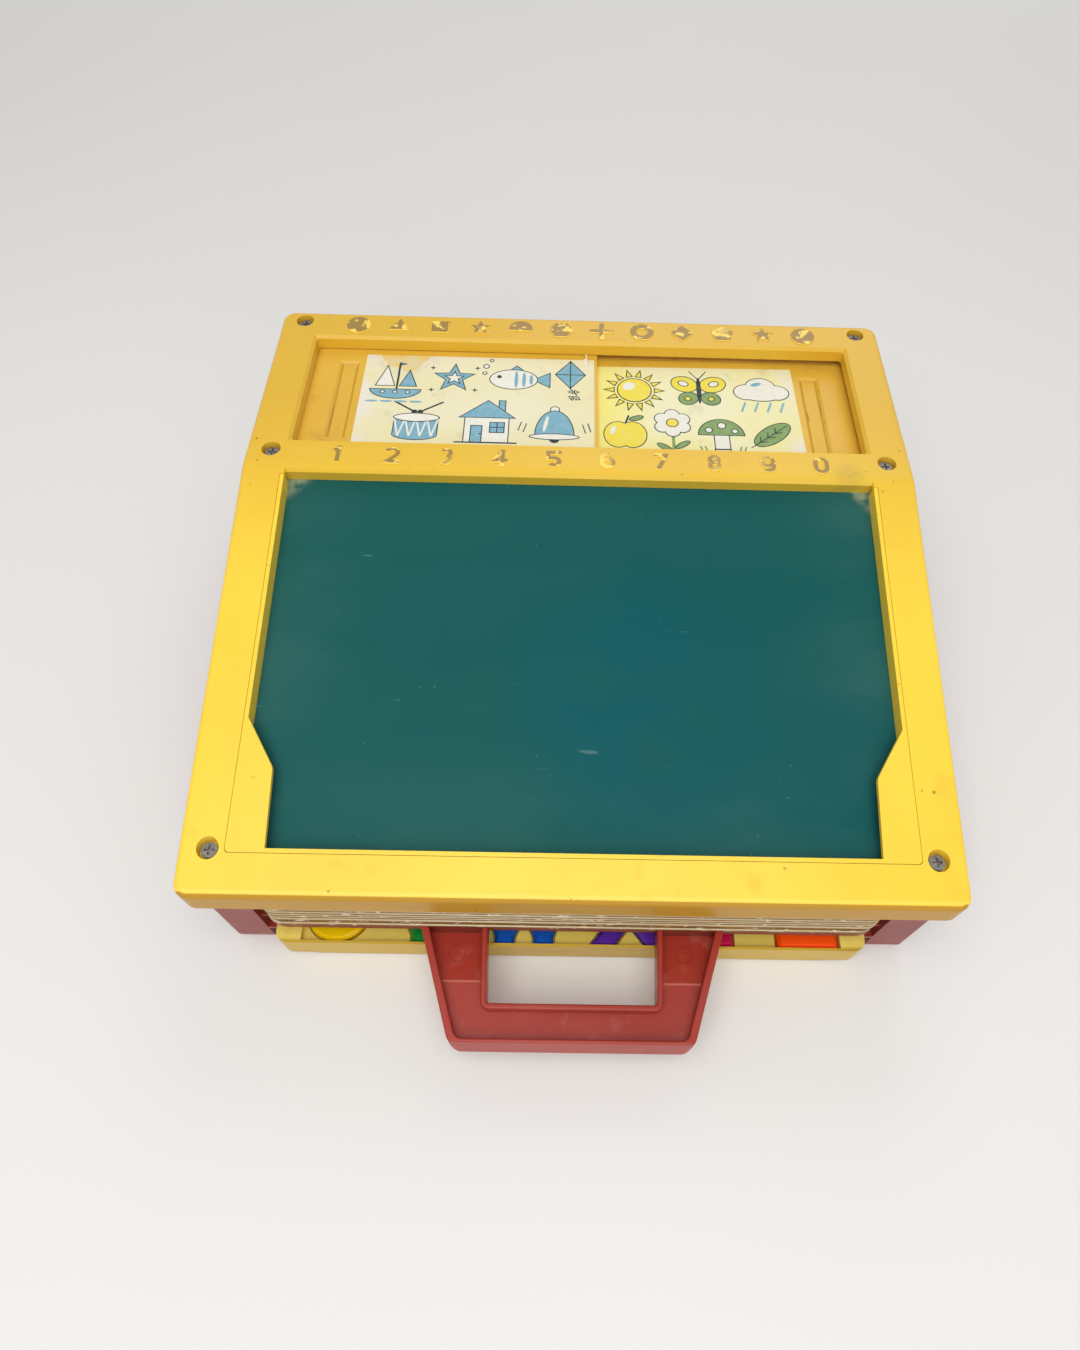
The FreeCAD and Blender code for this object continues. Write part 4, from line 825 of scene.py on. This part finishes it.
def draw_cloud(page):
    for x in (-0.32, -0.08, 0.16, 0.40):
        page.line(x, -0.26, x - 0.09, -0.52, "blue", 2 * INK_WIDTH)
    page.cluster("white", [(-0.28, 0.02, 0.46, 0.40), (0.0, 0.16, 0.56, 0.50), (0.30, 0.02, 0.44, 0.38),
                           (0.0, -0.06, 0.72, 0.30)])
    page.disc(-0.08, 0.24, 0.22, 0.09, "blue", 20.0, outlined=False)


def draw_flower(page):
    page.line(0.0, -0.62, 0.0, 0.1, "green", 3 * INK_WIDTH)
    page.disc(0.18, -0.40, 0.38, 0.15, "green", 35.0)
    page.disc(-0.18, -0.48, 0.38, 0.15, "green", 145.0)
    petals = []
    for index in range(6):
        angle = math.radians(60.0 * index + 30.0)
        petals.append((0.24 * math.cos(angle), 0.22 + 0.24 * math.sin(angle), 0.29, 0.29))
    page.cluster("white", petals)
    page.disc(0.0, 0.22, 0.26, 0.26, "yellow")


def draw_mushroom(page):
    page.dome(0.0, -0.50, 0.36, 0.20, "white", 180.0)
    page.block(0.0, -0.28, 0.34, 0.46, "white")
    page.dome(0.0, -0.10, 1.0, 1.0, "green")
    for x, y, wide in ((-0.26, 0.06, 0.17), (0.02, 0.20, 0.20), (0.29, 0.04, 0.15)):
        page.disc(x, y, wide, wide, "white")
    for x in (-0.42, -0.32, 0.34, 0.44):
        page.line(x, -0.58, x + 0.05 * (1 if x > 0 else -1), -0.42, "green", 1.6 * INK_WIDTH)


def draw_apple(page):
    page.line(0.0, 0.22, 0.08, 0.50, width=2 * INK_WIDTH)
    page.disc(0.24, 0.42, 0.34, 0.16, "green", 20.0)
    page.cluster("yellow", [(-0.15, -0.08, 0.58, 0.74), (0.15, -0.08, 0.58, 0.74)])
    page.disc(-0.26, 0.04, 0.11, 0.26, "white", -15.0, outlined=False)


def draw_leaf(page):
    page.disc(0.0, 0.0, 1.05, 0.50, "green", 40.0)
    page.line(-0.50, -0.42, 0.36, 0.30)
    for share in (0.25, 0.45, 0.65):
        x, y = -0.50 + 0.86 * share, -0.42 + 0.72 * share
        page.line(x, y, x + 0.02, y + 0.17)
        page.line(x, y, x + 0.17, y + 0.02)


def print_sheets():
    """Pictures on the two labels and plain shapes on the two upper cards."""
    inks = {"line": ink_finish("print_black", tone(36, 50, 54), tone(70, 84, 86)),
            "blue": ink_finish("print_blue", tone(122, 172, 192), tone(146, 186, 200)),
            "green": ink_finish("print_green", tone(128, 158, 100), tone(152, 176, 118)),
            "yellow": ink_finish("print_yellow", tone(238, 218, 78), tone(238, 224, 116)),
            "white": ink_finish("print_white", tone(236, 234, 222), tone(228, 226, 208))}
    left = Print("left_label_print", LEFT_LABEL_TOP, inks)
    for draw, x, y, size in ((draw_boat, -0.1065, 0.1475, 0.030), (draw_star, -0.0735, 0.1520, 0.025),
                             (draw_fish, -0.0375, 0.1520, 0.030), (draw_kite, -0.0060, 0.1530, 0.027),
                             (draw_drum, -0.0920, 0.1145, 0.028), (draw_house, -0.0525, 0.1160, 0.031),
                             (draw_bell, -0.0145, 0.1150, 0.029)):
        draw(left.at(x, y, size))
    left.finish("left_door", "label_paper")
    right = Print("right_label_print", RIGHT_LABEL_TOP, inks)
    for draw, x, y, size in ((draw_sun, 0.0315, 0.1500, 0.032), (draw_butterfly, 0.0695, 0.1510, 0.031),
                             (draw_cloud, 0.1060, 0.1500, 0.031), (draw_apple, 0.0255, 0.1150, 0.027),
                             (draw_flower, 0.0525, 0.1170, 0.028), (draw_mushroom, 0.0800, 0.1165, 0.027),
                             (draw_leaf, 0.1090, 0.1155, 0.026)):
        draw(right.at(x, y, size))
    right.finish("right_door", "label_paper")

    strong = {"line": inks["line"]}
    for name, base, shade in LETTER_COLOURS:
        strong[name] = ink_finish("card_print_" + name, tone(*base), tone(*shade))
    top = Print("top_card_print", TOP_CARD_FACE, strong)
    near_row, far_row = CARD_ROWS
    first, second, third = CARD_COLUMNS
    top.at(first, near_row, CARD_SHAPE_SIZE).disc(0.0, 0.0, 1.0, 1.0, "blue")
    top.at(second, near_row, CARD_SHAPE_SIZE).block(0.0, 0.0, 0.9, 0.9, "magenta")
    top.at(third, near_row, CARD_SHAPE_SIZE).wedge(0.0, 0.0, 1.0, 0.9, "green")
    top.at(first, far_row, CARD_SHAPE_SIZE).star(0.0, 0.0, 1.1, "yellow")
    top.at(second, far_row, CARD_SHAPE_SIZE).kite(0.0, 0.0, 0.9, 1.1, "orange")
    top.at(third, far_row, CARD_SHAPE_SIZE).dome(0.0, -0.25, 1.1, 1.1, "purple")
    top.finish("top_card", "card_stock")
    under = Print("card_stack_print", NEXT_CARD_FACE, strong)
    for row, y in enumerate(CARD_ROWS):
        for column, x in enumerate(CARD_COLUMNS):
            under.at(x, y, CARD_DOTS_SIZE)
            before = row * len(CARD_COLUMNS) + column
            tint = LETTER_COLOURS[(before + 2) % len(LETTER_COLOURS)][0]
            for step in range(before + 1):
                under.layer = 0
                under.disc(-0.3 + 0.3 * (step % 3), 0.18 - 0.36 * (step // 3), 0.24, 0.24, tint)
    under.finish("card_stack", "card_stock")


def curl_label():
    """Corner of the left label that has come loose and stands up as a small tapering curl."""
    deselect()
    bpy.ops.mesh.primitive_plane_add(size=1.0, rotation=(0.0, math.radians(90.0), 0.0))
    bpy.ops.object.transform_apply(location=False, rotation=True, scale=False)
    curl = bpy.context.object
    curl.name = "left_label_curl"
    curl.scale = (1.0, CURL_LENGTH, CURL_WIDTH)
    curl.location = (0.0, CURL_LENGTH / 2, CURL_WIDTH / 2)
    bpy.ops.object.transform_apply(location=True, rotation=False, scale=True)
    bpy.ops.object.mode_set(mode="EDIT")
    bpy.ops.mesh.subdivide(number_cuts=CURL_CUTS)
    bpy.ops.object.mode_set(mode="OBJECT")
    bend = curl.modifiers.new("bend", "SIMPLE_DEFORM")
    bend.deform_method = "BEND"
    bend.deform_axis = "Y"
    bend.angle = math.radians(CURL_BEND)
    bpy.ops.object.modifier_apply(modifier=bend.name)
    taper = curl.modifiers.new("taper", "SIMPLE_DEFORM")
    taper.deform_method = "TAPER"
    taper.deform_axis = "Y"
    taper.factor = CURL_TAPER
    bpy.ops.object.modifier_apply(modifier=taper.name)
    sheet = curl.modifiers.new("sheet", "SOLIDIFY")
    sheet.thickness = CURL_PAPER
    bpy.ops.object.modifier_apply(modifier=sheet.name)
    curl.rotation_euler = (0.0, math.radians(-90.0), math.radians(CURL_TURN))
    curl.location = CURL_PLACE
    bpy.ops.object.transform_apply(location=True, rotation=True, scale=False)
    bpy.ops.object.shade_smooth_by_angle(angle=math.radians(40.0))
    finish = Finish("label_curl_paper", roughness=0.6)
    finish.colour(finish.mix(finish.noise(500, 4), tone(255, 253, 248), tone(240, 236, 226)))
    finish.relief(finish.noise(900, 3), 0.15, FINE_RELIEF)
    curl.data.materials.append(finish.material)
    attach(curl, "left_door")


def seen_directly(tree):
    """1 for rays from the eye, from a mirror or through glass, and 0 for rays that carry light."""
    path = tree.nodes.new("ShaderNodeLightPath")
    share = path.outputs["Is Camera Ray"]
    for kind in ("Is Glossy Ray", "Is Transmission Ray"):
        either = tree.nodes.new("ShaderNodeMath")
        either.operation = "MAXIMUM"
        tree.links.new(share, either.inputs[0])
        tree.links.new(path.outputs[kind], either.inputs[1])
        share = either.outputs[0]
    return share


def set_stage():
    """Pale floor that runs into a pale backdrop, and soft light from above, in front and behind."""
    deselect()
    bpy.ops.mesh.primitive_plane_add(size=FLOOR_SIZE, location=(0.0, 0.0, 0.0))
    floor = bpy.context.object
    floor.name = "floor"
    pale = Finish("floor_pale", roughness=0.9, specular=0.1)
    pale.colour(pale.mix(pale.noise(3, 2), tone(230, 229, 227), tone(234, 233, 231)))
    glow = pale.add("ShaderNodeEmission")
    glow.inputs["Color"].default_value = tone(*BACKDROP)
    far = pale.times(pale.ramp(pale.near(0.0, 0.0, 1.0), *FLOOR_FADE), seen_directly(pale.tree))
    ground = pale.add("ShaderNodeMixShader")
    for value, socket in zip((far, pale.shader.outputs[0], glow.outputs[0]), ground.inputs):
        pale.feed(value, socket)
    pale.feed(ground.outputs[0], pale.tree.nodes["Material Output"].inputs["Surface"])
    floor.data.materials.append(pale.material)

    world = bpy.data.worlds.new("soft_sky")
    scene.world = world
    world.use_nodes = True
    tree = world.node_tree
    sky = tree.nodes["Background"]
    sky.inputs["Color"].default_value = SKY_COLOUR
    sky.inputs["Strength"].default_value = SKY_STRENGTH
    backdrop = tree.nodes.new("ShaderNodeBackground")
    backdrop.inputs["Color"].default_value = tone(*BACKDROP)
    both = tree.nodes.new("ShaderNodeMixShader")
    for value, socket in zip((seen_directly(tree), sky.outputs[0], backdrop.outputs[0]), both.inputs):
        tree.links.new(value, socket)
    tree.links.new(both.outputs[0], tree.nodes["World Output"].inputs["Surface"])

    for name, place, size, power in LAMPS:
        data = bpy.data.lights.new(name, "AREA")
        data.shape = "SQUARE"
        data.size = size
        data.energy = power
        lamp = bpy.data.objects.new(name, data)
        lamp.location = place
        aim = Vector(LAMP_AIM) - Vector(place)
        lamp.rotation_euler = aim.to_track_quat("-Z", "Y").to_euler()
        scene.collection.objects.link(lamp)


def set_camera():
    """Camera close to the desk, high in front of it and a little tilted."""
    pitch = math.radians(CAMERA_PITCH)
    yaw = math.radians(CAMERA_YAW)
    roll = math.radians(CAMERA_ROLL)
    ahead = Vector((math.sin(yaw) * math.cos(pitch), math.cos(yaw) * math.cos(pitch), -math.sin(pitch)))
    level = Vector((math.cos(yaw), -math.sin(yaw), 0.0))
    above = level.cross(ahead)
    right = math.cos(roll) * level + math.sin(roll) * above
    up = math.cos(roll) * above - math.sin(roll) * level
    data = bpy.data.cameras.new("camera")
    data.sensor_width = CAMERA_SENSOR
    data.lens = CAMERA_LENS
    data.shift_x, data.shift_y = CAMERA_SHIFT
    data.clip_start = CAMERA_NEAR
    camera = bpy.data.objects.new("camera", data)
    turn = Matrix((right, up, -ahead)).transposed().to_4x4()
    camera.matrix_world = Matrix.Translation(CAMERA_PLACE) @ turn
    scene.collection.objects.link(camera)
    scene.camera = camera


dress_desk()
print_sheets()
curl_label()
set_stage()
set_camera()
